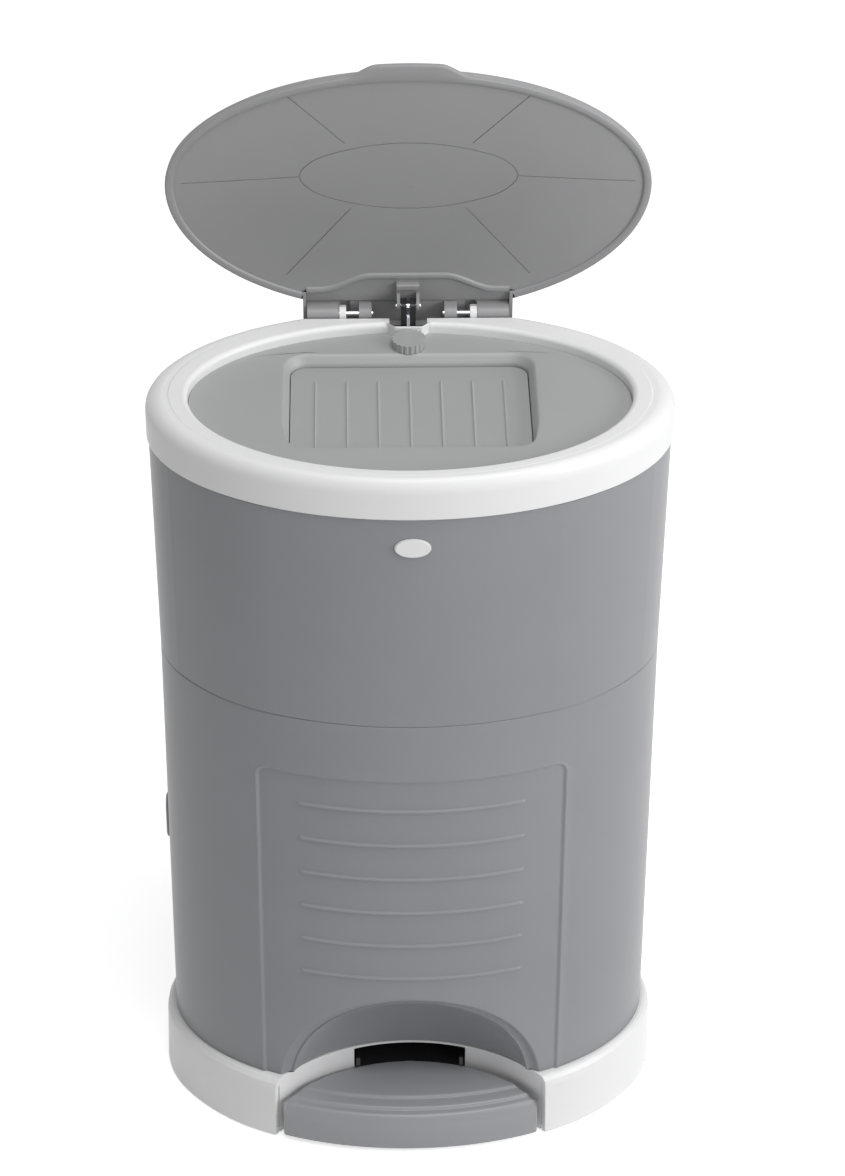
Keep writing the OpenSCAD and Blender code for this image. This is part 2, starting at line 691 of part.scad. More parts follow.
module pedal() {
  color(deck_grey) difference() {
    union() {
      pedal_slice(pedal_reach, pedal_gap, pedal_half_w, pedal_lift, tread_z[0]);
      pedal_slice(pedal_reach - tread_off[1], pedal_gap, pedal_half_w, tread_z[0] - 1, tread_z[1]);
      pedal_slice(pedal_reach - tread_off[2], pedal_gap, pedal_half_w, tread_z[1] - 1, tread_z[2]);
    }
    pedal_slice(pedal_reach - skin_t, pedal_gap + skin_t, pedal_half_w - skin_t, pedal_lift - 1,
      tread_z[0] - skin_t);
    pedal_slice(pedal_reach - tread_off[1] - skin_t, pedal_gap + skin_t, pedal_half_w - skin_t,
      pedal_lift - 1, tread_z[1] - skin_t);
    pedal_slice(pedal_reach - tread_off[2] - skin_t, pedal_gap + skin_t, pedal_half_w - skin_t,
      pedal_lift - 1, lever_top);
    block(-slot_half_w, slot_half_w, recess_y + recess_r - 30, 0, pedal_lift - 1, lever_top);
    for (p = pedal_screw_xy) translate([p[0], p[1], lever_top - 1])
      cylinder(d = 3 + 2*skin, h = 2.6, $fn = small);
  }
}

module pedal_screws() {
  color(steel) for (p = pedal_screw_xy) translate([p[0], p[1], lever_top - lever_t - 2]) screw(6, 2, 3, 4);
}

lever_half_w = 41;
lever_z0 = lever_top - lever_t;
hub_lever_r = 7;
lever_front = 19 - body_half_d;

module pedal_lever() {
  y = lever_front;
  side = [[y, lever_z0], [y + 43, lever_z0], [-12, 24], [12, 24], [30, 31], [30, 36], [10, 40],
    [y + 41, 42], [y + 34, 41], [y + 30, lever_top], [y, lever_top]];
  arm = [[12, 31], [rod_y - 5, 34], [rod_y + 8, 34], [rod_y + 8, lever_pad - 2], [rod_y + 1, lever_pad],
    [rod_y - 1, lever_pad], [rod_y - 9, lever_pad - 2.4], [12, 36]];
  color(black) difference() {
    union() {
      block(-lever_half_w, lever_half_w, y, -14, lever_z0, lever_top);
      block(-lever_half_w, lever_half_w, 13, 29, 31, 35.8);
      translate([-10, 0, 0]) rotate([90, 0, 90]) linear_extrude(height = 20) polygon(arm);
      for (x = [-lever_half_w, lever_half_w - 3]) translate([x, 0, 0]) {
        rotate([90, 0, 90]) linear_extrude(height = 3) polygon(side);
        rod_along_x(0, 3, 0, pivot_z, hub_lever_r);
      }
    }
    rod_along_x(-60, 60, 0, pivot_z, pivot_d/2 + fit);
    for (p = pedal_screw_xy) translate([p[0], p[1], 20]) cylinder(d = 3 + 2*skin, h = 20, $fn = small);
  }
}

module pedal_pin() {
  color(steel) {
    rod_along_x(-50, 50, 0, pivot_z, pivot_d/2);
    rod_along_x(50 - 0.01, 51.5, 0, pivot_z, pivot_d/2 + 1.5);
  }
}

// The coils of the hidden springs fill a sleeve of this size; two straight legs stand out of it
module sleeve_spring(x0, x1, y, z, r_in, wire, leg_down, leg_up) {
  difference() {
    rod_along_x(x0, x1, y, z, r_in + wire);
    rod_along_x(x0 - 1, x1 + 1, y, z, r_in);
  }
  translate([x0 + wire/2, y + r_in + wire/2, z - leg_down]) cylinder(d = wire, h = leg_down, $fn = 16);
  translate([x1 - wire/2, y + r_in + wire/2, z]) cylinder(d = wire, h = leg_up, $fn = 16);
}

spring_x = 19;
spring_l = 12;

module pedal_spring() {
  color(steel) sleeve_spring(-spring_x - spring_l, -spring_x, 0, pivot_z, pivot_d/2 + 0.4, 1.2,
    pivot_z - base_z0 - 5.2, 7);
}

module lift_rod() {
  color(steel) {
    translate([0, rod_y, rod_z0]) cylinder(d = rod_d, h = rod_z1 - rod_z0, $fn = small);
    block(-tang_half_w, tang_half_w, yoke_y0 + 1, yoke_y1 - 1, rod_z1 + 0.1, crank_z - 4.5);
    block(-tang_half_w, tang_half_w, rod_y - 2, rod_y + 2, rod_z1 - 2, rod_z1 + 1);
  }
}

module rod_foot() {
  color(black) difference() {
    translate([0, rod_y, lever_pad + slip]) cylinder(d = 14, h = 7, $fn = small);
    translate([0, rod_y, rod_z0]) cylinder(d = rod_d + 2*skin, h = 10, $fn = small);
  }
}

module rod_yoke() {
  z_low = crank_z + yoke_rise - pin_r - yoke_slack;
  z_high = crank_z + yoke_rise + pin_r + yoke_slack;
  color(black) difference() {
    block(-yoke_half_w, yoke_half_w, yoke_y0, yoke_y1, yoke_z0, z_high + 2);
    block(-yoke_gap, yoke_gap, yoke_y0 - 1, yoke_y1 + 1, rod_z1, z_high + 3);
    block(-10, 10, hinge_y - slot_front - pin_r - slip/2, hinge_y - slot_back + pin_r + slip/2, z_low,
      z_high);
    translate([0, rod_y, yoke_z0 - 1]) cylinder(d = rod_d + 2*skin, h = rod_z1 - yoke_z0 + 1, $fn = small);
  }
}

// The lid is drawn shut and then turned open about its hinge, as it stands with the pedal down
module opened() {
  translate([0, hinge_y, hinge_z]) rotate([-lid_open, 0, 0]) translate([0, -hinge_y, -hinge_z]) children();
}

tab_base_w = 42;
tab_tip_w = 20.4;
tab_out = 9;
lid_rim_top = lid_seat + lid_rim_h;
lid_top = lid_rim_top + lid_rise;
lid_edge_y = lid_y - plan_lid[1];
housing_half_w = 74.8;
housing_y = hinge_y + 14;
housing_top = lid_seat + 11;
ear_slot = [ear_x - 1.2, ear_x + ear_w + 1.2];

module ear_slots(y0) {
  for (s = [1, -1]) block(min(s*ear_slot[0], s*ear_slot[1]), max(s*ear_slot[0], s*ear_slot[1]), y0, far,
    lid_seat - 20, lid_seat + 7.5);
}

module lid_cover() {
  t = lid_wall;
  z = lid_top;
  color(lid_grey) opened() difference() {
    union() {
      band(plan_lid, [[0, lid_seat], [0, lid_rim_top - 1], [-1.6, lid_rim_top + 1.6], [-5, z - 6.6],
        [-14, z - 3], [-30, z], [-30, z - t], [-14, z - 3 - t], [-5 - t/3, z - 6.6 - t],
        [-1.6 - t, lid_rim_top], [-t, lid_rim_top - 2], [-t, lid_seat]]);
      slab(plan_lid, -29, z - t, z, 8);
      translate([0, 0, lid_seat]) linear_extrude(height = 6)
        polygon([[-tab_base_w, lid_edge_y + 4], [-tab_tip_w, lid_edge_y - tab_out],
          [tab_tip_w, lid_edge_y - tab_out], [tab_base_w, lid_edge_y + 4]]);
      difference() {
        block(-housing_half_w, housing_half_w, hinge_y - 20, housing_y, lid_seat, housing_top);
        block(-housing_half_w + t, housing_half_w - t, hinge_y - 44, housing_y - t, lid_seat - 1,
          housing_top - t);
      }
    }
    slab_under_lid();
    block(-housing_half_w + t, housing_half_w - t, hinge_y - 24, housing_y - t, lid_seat - 1,
      housing_top - t);
    ear_slots(hinge_y - 14);
  }
}

// The space under the lid's crown, cleared where the hinge housing and the tab run into it
module slab_under_lid() {
  difference() {
    slab(plan_lid, -lid_wall, lid_seat - 1, lid_rim_top - 2.2, deep_lap);
    for (s = [1, -1]) block(s*(housing_half_w - 1.2) - 1.2, s*(housing_half_w - 1.2) + 1.2,
      hinge_y - 16, far,
      lid_seat - 2, lid_rim_top);
  }
}

liner_z = lid_seat + 1.5;
liner_t = 2;
liner_gap = 0.4;
centre_ring = [0.447*plan_lid[0], 0.296*plan_lid[1], 0.296*plan_lid[1], lid_y - 8.6];
score_w = 0.8;
score_d = 0.5;
ray_ends = [[place(0.42, -0.12), place(0.878, -0.073)], [place(0.247, -0.373), place(0.461, -0.727)],
  [place(0.225, 0.127), place(0.478, 0.645)]];

module liner_ray(p, q) {
  along = unit(q - p);
  side = [-along[1], along[0]]*score_w/2;
  translate([0, 0, liner_z - 1]) linear_extrude(height = 1 + score_d)
    polygon([p - side, q - side, q + side, p + side]);
}

function unit(v) = v/norm(v);

liner_cut = [[-77, -18], [-46, -24], [-40, -29], [40, -29], [46, -24], [77, -18], [77, 36], [-77, 36]];

module lid_liner() {
  color(lid_grey) opened() difference() {
    union() {
      slab(plan_lid, -lid_wall - liner_gap, liner_z, liner_z + liner_t);
      hoop(plan_lid, -lid_wall - liner_gap - 2, -lid_wall - liner_gap, lid_seat + 0.3, liner_z + 0.5);
    }
    hoop(centre_ring, -score_w/2, score_w/2, liner_z - 1, liner_z + score_d);
    for (r = ray_ends, s = [1, -1]) liner_ray([s*r[0][0], r[0][1]], [s*r[1][0], r[1][1]]);
    translate([0, 0, liner_z - 5]) linear_extrude(height = 10)
      polygon([for (p = liner_cut) [p[0], hinge_y + p[1]]]);
  }
}

bracket_z = lid_seat + 5.4;
bracket_t = 2.2;
knuckle_r = 5.8;
knuckle_x = [49.4, 72];
cheek_x = 5.8;
cheek_w = 2.2;

module crank_cheek(x) {
  outline = [[crank_shut_y - 4.2, crank_shut_z], [crank_shut_y + 4.2, crank_shut_z],
    [crank_shut_y + 8, bracket_z + 1], [crank_shut_y - 5.5, bracket_z + 1]];
  translate([x, 0, 0]) rotate([90, 0, 90]) linear_extrude(height = cheek_w) polygon(outline);
  rod_along_x(x, x + cheek_w, crank_shut_y, crank_shut_z, 4.2);
}

module knuckle(x0, x1) {
  rod_along_x(x0, x1, hinge_y, hinge_z, knuckle_r);
  block(x0, x1, hinge_y - knuckle_r, hinge_y + knuckle_r, hinge_z, bracket_z + 1);
}

module lid_bracket() {
  color(lid_grey) opened() difference() {
    union() {
      block(-knuckle_x[1], knuckle_x[1], hinge_y - 15, housing_y - lid_wall - 0.3, bracket_z,
        bracket_z + bracket_t);
      for (s = [1, -1]) {
        knuckle(min(s*knuckle_x[0], s*knuckle_x[1]), max(s*knuckle_x[0], s*knuckle_x[1]));
        knuckle(min(s*lug_in_x, s*(lug_in_x + lug_in_w)), max(s*lug_in_x, s*(lug_in_x + lug_in_w)));
        crank_cheek(s > 0 ? cheek_x : -cheek_x - cheek_w);
      }
    }
    ear_slots(hinge_y - 24);
    for (s = [1, -1]) rod_along_x(min(s*(pin_x0 - 1), s*(pin_x1 + 1)), max(s*(pin_x0 - 1), s*(pin_x1 + 1)),
      hinge_y, hinge_z, pin_r + skin);
    rod_along_x(-12, 12, crank_shut_y, crank_shut_z, pin_r + skin);
  }
}

module hinge_pins() {
  color(steel) opened() for (s = [1, -1])
    rod_along_x(min(s*pin_x0, s*pin_x1), max(s*pin_x0, s*pin_x1), hinge_y, hinge_z, pin_r);
}

module crank_pin() {
  color(steel) opened() rod_along_x(-cheek_x - cheek_w - 1.2, cheek_x + cheek_w + 1.2, crank_shut_y,
    crank_shut_z, pin_r);
}

module trap_flap() {
  rib_h = 0.8;
  hubs = [[-72, -61], [-8, 8], [61, 72]];
  color(deck_grey) difference() {
    union() {
      translate([0, 0, flap_face - flap_t]) linear_extrude(height = flap_t)
        round_rect(-flap_w/2, flap_w/2, flap_front, flap_rear, mouth_corner - 5);
      for (k = [0:flap_ribs - 1]) {
        x = (k - (flap_ribs - 1)/2)*flap_pitch;
        block(x - rib_h, x + rib_h, flap_front + 5, flap_rear - 19, flap_face - 0.5, flap_face + rib_h);
      }
      for (h = hubs) {
        rod_along_x(h[0], h[1], flap_pin_y, flap_pin_z, hub_r);
        block(h[0], h[1], flap_pin_y - 3, flap_pin_y + 3, flap_pin_z, flap_face - 0.5);
      }
    }
    rod_along_x(-90, 90, flap_pin_y, flap_pin_z, flap_pin_r + fit);
  }
}

module flap_pin() {
  color(steel) rod_along_x(-mouth_half_w - 2.3, mouth_half_w + 2.3, flap_pin_y, flap_pin_z, flap_pin_r);
}

module flap_springs() {
  color(steel) for (x = [-40, 24]) sleeve_spring(x, x + 16, flap_pin_y, flap_pin_z, flap_pin_r + 0.3,
    0.8, 4.5, 4.5);
}

knob_z = deck_top + 0.3;
knob_bottom = deck_top - deck_t - 4.2;

module lock_knob() {
  flutes = 20;
  color(deck_grey) {
    difference() {
      translate([0, knob_y, knob_z]) cylinder(d = knob_d, h = knob_h - 0.3, $fn = facets);
      for (k = [0:flutes - 1]) translate([0, knob_y, knob_z - 1]) rotate([0, 0, 360*k/flutes])
        translate([knob_d/2 + 0.6, 0, 0]) cylinder(r = 1.4, h = knob_h + 2, $fn = 24);
    }
    translate([0, knob_y, knob_bottom]) cylinder(r = knob_stem_r, h = knob_z - knob_bottom + 0.5,
      $fn = small);
  }
}

module knob_cam() {
  z1 = deck_top - deck_t - 0.4;
  color(black) difference() {
    union() {
      translate([0, knob_y, knob_bottom + 0.2]) cylinder(r = 7, h = z1 - knob_bottom - 0.2, $fn = small);
      block(0, 8, knob_y - 4, knob_y + 4, knob_bottom + 0.2, z1);
      translate([8, knob_y, knob_bottom + 0.2]) cylinder(r = 4, h = z1 - knob_bottom - 0.2, $fn = small);
    }
    translate([0, knob_y, knob_bottom - 1]) cylinder(r = knob_stem_r + skin, h = 10, $fn = small);
  }
}

panel_bottom = 66;
rib_depth = 1;
rib_w = 2.8;

module door_rib_rows() {
  intersection() {
    union() for (k = [0:door_ribs - 1]) {
      z = door_rib_z + k*door_rib_pitch;
      hoop(plan_body, -panel_depth - 0.5, -panel_depth + rib_depth, z - rib_w/2, z + rib_w/2);
    }
    block(-door_rib_half_w, door_rib_half_w, -far, 0, 0, far);
  }
}

module front_only() {
  block(-far, far, -far, 0, -1, far);
}

module door() {
  color(grey) difference() {
    union() {
      difference() {
        intersection() {
          hoop(plan_body, -wall, 0, door_bottom, door_top);
          front_only();
        }
        intersection() {
          hoop(plan_body, -panel_depth, 6, panel_bottom, panel_top);
          rotate([90, 0, 0]) linear_extrude(height = far)
            round_rect(-panel_half_w, panel_half_w, panel_bottom, panel_top, panel_corner);
        }
      }
      door_rib_rows();
      translate([barrel_x, 0, door_bottom])
        cylinder(r = barrel_d/2, h = door_top - door_bottom, $fn = small);
      intersection() {
        scoop(wall);
        slab(plan_body, -panel_depth - 0.2, door_bottom, arch_top + 20, deep_lap);
      }
      block(-body_half_w + 4.4, -body_half_w + 7.4, -14, 3, latch_z - 9, latch_z + 9);
    }
    scoop(0);
    translate([barrel_x, 0, door_bottom - 1]) cylinder(d = door_pin_d + 2*fit, h = 17, $fn = small);
    translate([barrel_x, 0, door_top - 16]) cylinder(d = door_pin_d + 2*fit, h = 17, $fn = small);
  }
}

module door_pins() {
  color(steel) translate([barrel_x, 0, 0]) {
    translate([0, 0, base_h - 14 + 0.1]) cylinder(d = door_pin_d, h = 28, $fn = small);
    translate([0, 0, door_top - 14]) cylinder(d = door_pin_d, h = 28, $fn = small);
  }
}

cutter_y = 11 - body_half_d;

module cutter_housing() {
  z = seam_z - 22;
  color(black) difference() {
    intersection() {
      slab(plan_body, -wall - 0.1, z - 11, z + 11, 24);
      block(-34, 34, -far, cutter_y + 6, z - 12, z + 12);
    }
    block(-27, 27, cutter_y, cutter_y + 9, z - 1.5, z + 1.5);
  }
}

module cutter_blade() {
  z = seam_z - 22;
  color(steel) block(-26, 26, cutter_y + 0.1, cutter_y + 7.5, z - 0.4, z + 0.4);
}

// An oblong with round ends, standing upright, pushed through the left wall
module latch_shape(grow, x0, x1) {
  r = latch_w/2 + grow;
  half = latch_h/2 - latch_w/2;
  translate([x0, latch_y, latch_z]) {
    for (s = [-half, half]) translate([0, 0, s]) rotate([0, 90, 0])
      cylinder(r = r, h = x1 - x0, $fn = small);
    translate([0, -r, -half]) cube([x1 - x0, 2*r, 2*half]);
  }
}

module latch_hole(gap) {
  latch_shape(gap, -body_half_w - 5, -body_half_w + 14);
}

latch_back = -body_half_w + 12;
frame_x = latch_back + 8;

module latch_button() {
  color(grey) {
    intersection() {
      latch_shape(0, -body_half_w - latch_out, latch_back);
      translate([-body_half_w - latch_out + 60, latch_y, latch_z]) sphere(r = 60, $fn = facets);
    }
    intersection() {
      latch_shape(2.5, latch_back - 3, latch_back);
      slab(plan_body, -wall - 0.6, latch_z - 40, latch_z + 40, deep_lap);
    }
    rod_along_x(latch_back - 0.5, frame_x + 9, latch_y, latch_z, 3.5);
  }
}

module latch_frame() {
  color(black) difference() {
    union() {
      block(frame_x, frame_x + 3, latch_y - 9, latch_y + 9, latch_z - 30, latch_z + 30);
      for (s = [1, -1]) intersection() {
        block(-far, frame_x + 3, latch_y - 9, latch_y + 9, latch_z + s*27 - 3, latch_z + s*27 + 3);
        slab(plan_body, -wall - 0.1, latch_z - 40, latch_z + 40, deep_lap);
      }
    }
    rod_along_x(frame_x - 1, frame_x + 4, latch_y, latch_z, 3.5 + fit);
  }
}

module latch_retainer() {
  color(black) difference() {
    rod_along_x(frame_x + 3 + 0.2, frame_x + 6, latch_y, latch_z, 6);
    rod_along_x(frame_x, frame_x + 10, latch_y, latch_z, 3.5 + skin);
  }
}

module latch_spring() {
  color(steel) difference() {
    rod_along_x(latch_back + latch_travel + 0.3, frame_x - 0.1, latch_y, latch_z, 5.6);
    rod_along_x(latch_back, frame_x + 1, latch_y, latch_z, 4.4);
  }
}

base();
feet();
base_screws();
inner_floor();
rear_body();
upper_body();
name_plate();
collar();
deck();
deck_screws();
chute();
cassette_shelf();
shelf_screws();
bag_cassette();
rod_cover();
pedal();
pedal_screws();
pedal_lever();
pedal_pin();
pedal_spring();
lift_rod();
rod_foot();
rod_yoke();
lid_cover();
lid_liner();
lid_bracket();
hinge_pins();
crank_pin();
trap_flap();
flap_pin();
flap_springs();
lock_knob();
knob_cam();
door();
door_pins();
cutter_housing();
cutter_blade();
latch_button();
latch_retainer();
latch_frame();
latch_spring();
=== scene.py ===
import bpy
import numpy as np
from mathutils import Matrix, Vector


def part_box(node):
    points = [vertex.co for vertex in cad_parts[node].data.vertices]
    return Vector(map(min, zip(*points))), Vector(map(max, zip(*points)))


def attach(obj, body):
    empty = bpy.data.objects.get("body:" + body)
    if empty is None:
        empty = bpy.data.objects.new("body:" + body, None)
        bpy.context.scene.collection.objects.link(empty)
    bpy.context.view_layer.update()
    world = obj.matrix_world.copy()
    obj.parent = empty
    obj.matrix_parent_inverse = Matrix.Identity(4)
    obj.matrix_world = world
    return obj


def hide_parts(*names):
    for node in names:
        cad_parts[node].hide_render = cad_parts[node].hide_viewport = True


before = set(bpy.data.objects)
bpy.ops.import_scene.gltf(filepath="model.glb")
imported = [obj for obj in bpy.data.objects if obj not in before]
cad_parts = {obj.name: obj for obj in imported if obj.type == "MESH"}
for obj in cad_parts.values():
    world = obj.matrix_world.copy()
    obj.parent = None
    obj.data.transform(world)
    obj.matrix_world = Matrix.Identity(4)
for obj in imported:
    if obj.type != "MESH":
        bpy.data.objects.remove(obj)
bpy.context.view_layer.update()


# The photograph's view: the camera stands in front of the bin and a little to its left, 35.6
# degrees above the level, and turns right by a degree to put the bin in the middle.
pitch, turn, tilt = np.radians([35.6, 1.0534, -0.4326])
focal_px, photo_height_px = 3754.0, 1176
camera_place = (-0.0404, -2.1917, 2.0127)
level_forward = np.array([0.0, np.cos(pitch), -np.sin(pitch)])
level_right = np.array([1.0, 0.0, 0.0])
level_up = np.array([0.0, np.sin(pitch), np.cos(pitch)])
look = level_forward * np.cos(turn) + level_right * np.sin(turn)
across = level_right * np.cos(turn) - level_forward * np.sin(turn)
right = across * np.cos(tilt) + level_up * np.sin(tilt)
up = -across * np.sin(tilt) + level_up * np.cos(tilt)
camera_data = bpy.data.cameras.new("photo_camera")
camera = bpy.data.objects.new("photo_camera", camera_data)
bpy.context.scene.collection.objects.link(camera)
axes = [[right[k], up[k], -look[k]] for k in range(3)]
camera.matrix_world = Matrix.Translation(camera_place) @ Matrix(axes).to_4x4()
camera_data.sensor_fit = "VERTICAL"
camera_data.sensor_height = 36.0
camera_data.lens = focal_px / photo_height_px * camera_data.sensor_height
bpy.context.scene.camera = camera


# The studio: a white sweep on which the bin throws a soft shadow, a large soft light on the right,
# another above, a weak one on the left and an even white surround.
floor_reach = 6
floor_mesh = bpy.data.meshes.new("studio_floor")
floor_corners = [(x * floor_reach, y * floor_reach, 0) for x, y in ((-1, -1), (1, -1), (1, 1), (-1, 1))]
floor_mesh.from_pydata(floor_corners, [], [(0, 1, 2, 3)])
floor = bpy.data.objects.new("studio_floor", floor_mesh)
bpy.context.scene.collection.objects.link(floor)


class Socket:
    """A shader output with Python's operators: sums and products of values become Math nodes."""

    def __init__(self, tree, link):
        self.tree = tree
        self.link = link

    def node(self, kind, out=0, settings=None, **inputs):
        made = self.tree.nodes.new(kind)
        for name, value in (settings or {}).items():
            if name == "stops":
                ramp = made.color_ramp
                while len(ramp.elements) < len(value):
                    ramp.elements.new(0.5)
                for element, (place, colour) in zip(ramp.elements, value):
                    element.position = place
                    element.color = (*colour, 1.0) if len(colour) == 3 else colour
            else:
                setattr(made, name, value)
        for name, value in inputs.items():
            key = int(name[1:]) if name[0] == "i" and name[1:].isdigit() else name.replace("_", " ")
            socket = made.inputs[key]
            if isinstance(value, Socket):
                self.tree.links.new(value.link, socket)
            else:
                socket.default_value = value
        return Socket(self.tree, made.outputs[out] if len(made.outputs) else None)

    def maths(self, operation, a, b=0.0, c=0.0):
        return self.node("ShaderNodeMath", settings={"operation": operation}, i0=a, i1=b, i2=c)

    def __add__(self, other):
        return self.maths("ADD", self, other)

    def __radd__(self, other):
        return self.maths("ADD", other, self)

    def __sub__(self, other):
        return self.maths("SUBTRACT", self, other)

    def __rsub__(self, other):
        return self.maths("SUBTRACT", other, self)

    def __mul__(self, other):
        return self.maths("MULTIPLY", self, other)

    def __rmul__(self, other):
        return self.maths("MULTIPLY", other, self)

    def __truediv__(self, other):
        return self.maths("DIVIDE", self, other)

    def __pow__(self, other):
        return self.maths("POWER", self, other)


def start_material(name):
    """A new material with an empty tree, and the Object coordinates to build from."""
    material = bpy.data.materials.new(name)
    material.use_nodes = True
    tree = material.node_tree
    tree.nodes.clear()
    place = Socket(tree, None).node("ShaderNodeTexCoord", out=3)
    return material, place


def end_material(material, shader):
    """Joins the finished shader to a material output and hands the material back."""
    shader.node("ShaderNodeOutputMaterial", Surface=shader)
    return material


def seen_straight(socket):
    """1 for a ray from the camera, from a mirror or through glass, and 0 for the light itself."""
    camera_ray, mirror_ray, glass_ray = (
        socket.node("ShaderNodeLightPath", out=f"Is {kind} Ray")
        for kind in ("Camera", "Glossy", "Transmission")
    )
    return socket.node("ShaderNodeClamp", Value=camera_ray + mirror_ray + glass_ray)


def studio_white(name, lift):
    """A matt white sheet that throws back the light and keeps shadows. Seen straight, in metal or
    through glass it is lifted by a weak glow, so that it is as white as the paper round it."""
    material, place = start_material(name)
    mask = seen_straight(place)
    paper = {"Base_Color": (0.9, 0.9, 0.9, 1), "Roughness": 0.9}
    matt = place.node("ShaderNodeBsdfPrincipled", **paper)
    glow = place.node(
        "ShaderNodeBsdfPrincipled", Emission_Color=(1, 1, 1, 1), Emission_Strength=lift, **paper
    )
    return end_material(material, place.node("ShaderNodeMixShader", i0=mask, i1=matt, i2=glow))


floor.data.materials.append(studio_white("studio_floor", 0.6))

world = bpy.data.worlds.new("studio")
bpy.context.scene.world = world
world.use_nodes = True
world.node_tree.nodes.clear()
air = Socket(world.node_tree, None)
surround = air.node("ShaderNodeBackground", Color=(1, 1, 1, 1), Strength=0.27)
backdrop = air.node("ShaderNodeBackground", Color=(1, 1, 1, 1), Strength=1.0)
both = air.node("ShaderNodeMixShader", i0=seen_straight(air), i1=surround, i2=backdrop)
air.node("ShaderNodeOutputWorld", Surface=both)
bpy.context.scene.view_settings.view_transform = "Standard"
bpy.context.scene.view_settings.look = "None"


def soft_light(name, place, aim, size, power):
    """A square lamp of the given size in metres that faces the point it is aimed at."""
    data = bpy.data.lights.new(name, "AREA")
    data.size = size
    data.energy = power
    lamp = bpy.data.objects.new(name, data)
    bpy.context.scene.collection.objects.link(lamp)
    facing = (Vector(aim) - Vector(place)).to_track_quat("-Z", "Y").to_matrix().to_4x4()
    lamp.matrix_world = Matrix.Translation(place) @ facing


soft_light("key_light", (1.9, -1.1, 1.3), (0, 0, 0.35), 1.1, 31)
soft_light("fill_light", (-1.8, -1.6, 1.0), (0, 0, 0.35), 1.4, 2)
soft_light("top_light", (0.3, -0.6, 2.6), (0, 0, 0.5), 1.5, 30)


# The grey shells of the body: polypropylene mouldings with a fine grain and a soft gloss. The upper
# and the rear shell keep their CAD meshes. The door is drawn anew, with a soft sunk panel, six
# raised ribs and the rounded foot arch, and turns on a barrel at its right edge.
def moulded(name, colour, rough, grain_size, grain_depth, uneven=0.03, gloss=0.5):
    """Plastic: noise varies the colour by a few per cent and the roughness, and a finer noise
    raises a grain of the given size and depth in millimetres."""
    material, place = start_material(name)
    cloud = place.node("ShaderNodeTexNoise", Vector=place, Scale=9.0, Detail=3.0)
    grain = place.node("ShaderNodeTexNoise", Vector=place, Scale=1000.0 / grain_size, Detail=2.0)
    dark = tuple(c * (1 - uneven) for c in colour)
    light = tuple(min(1.0, c * (1 + uneven)) for c in colour)
    tint = cloud.node("ShaderNodeValToRGB", settings={"stops": [(0.3, dark), (0.7, light)]}, Fac=cloud)
    sheen = rough - 0.04 + 0.08 * cloud
    bumps = grain.node("ShaderNodeBump", Height=grain, Distance=grain_depth * 0.001, Strength=0.6)
    shader = place.node(
        "ShaderNodeBsdfPrincipled", Base_Color=tint, Roughness=sheen, Normal=bumps,
        IOR=1.49, Specular_IOR_Level=gloss,
    )
    return end_material(material, shader)


def dress(material, *nodes):
    """These CAD nodes keep their meshes and take the material."""
    for node in nodes:
        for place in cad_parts[node].material_slots:
            place.material = material


def box_mm(node):
    """The lowest and highest corner of a CAD node, in millimetres."""
    return [1000.0 * np.array(corner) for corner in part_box(node)]


def solid(name, grid, material, slot, body, *replaced, ring=False):
    """A closed piece from a grid of places in millimetres. Each row of the grid is a closed
    outline. The rows join up in turn, and the last with the first where ring is true; otherwise
    the first and the last row become flat ends. The sum of p.(q x r) over the triangles tells
    whether the faces look inwards, and then they are turned over."""
    count, width = grid.shape[:2]
    row = np.arange(count if ring else count - 1)[:, None] * width
    column = np.arange(width)[None, :]
    ahead = (column + 1) % width
    beyond = (row + width) % (count * width)
    quads = np.stack([row + column, row + ahead, beyond + ahead, beyond + column], -1).reshape(-1, 4)
    places = grid.reshape(-1, 3) * 0.001
    p, q, r, s = (places[quads[:, k]] for k in range(4))
    volume = np.einsum("ij,ij->", p, np.cross(q, r)) + np.einsum("ij,ij->", p, np.cross(r, s))
    ends = []
    if not ring:
        ends = [np.arange(width)[::-1], np.arange(width) + (count - 1) * width]
        for loop in ends:
            a, b = places[loop[1:-1]], places[loop[2:]]
            volume += np.einsum("j,ij->", places[loop[0]], np.cross(a, b))
    turned = -1 if volume < 0 else 1
    faces = [quad[::turned] for quad in quads.tolist()] + [loop[::turned].tolist() for loop in ends]
    mesh = bpy.data.meshes.new(name)
    mesh.from_pydata(places.tolist(), [], faces)
    mesh.polygons.foreach_set("use_smooth", np.ones(len(faces), bool))
    mesh.set_sharp_from_angle(angle=np.radians(40.0))
    mesh.materials.append(material)
    piece = bpy.data.objects.new(name, mesh)
    bpy.context.scene.collection.objects.link(piece)
    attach(piece, body)
    if replaced:
        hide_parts(*replaced)


def smooth(low, high, value):
    """Rises from 0 at low to 1 at high as 3 s^2 - 2 s^3."""
    s = np.clip((value - low) / (high - low), 0.0, 1.0)
    return s * s * (3.0 - 2.0 * s)


grey_shell = moulded("grained_grey", (0.243, 0.248, 0.263), 0.36, 1.1, 0.015, gloss=0.3)
dress(grey_shell, "upper_body", "rear_body", "rod_cover", "inner_floor")
half_w, half_d = 180.0, 110.0


def body_front(x):
    """How far the front of the oval body lies from its middle line: b sqrt(1 - x^2 / a^2)."""
    return half_d * np.sqrt(np.clip(1.0 - (x / half_w) ** 2, 0.0, 1.0))


def on_face(x, z, out):
    """Places on the oval's front at x and height z, moved out along the normal x/a^2, y/b^2."""
    y = -body_front(x)
    slope = np.hypot(x / half_w**2, y / half_d**2)
    return np.stack([x + out * x / half_w**2 / slope, y + out * y / half_d**2 / slope, z + 0.0 * x], -1)


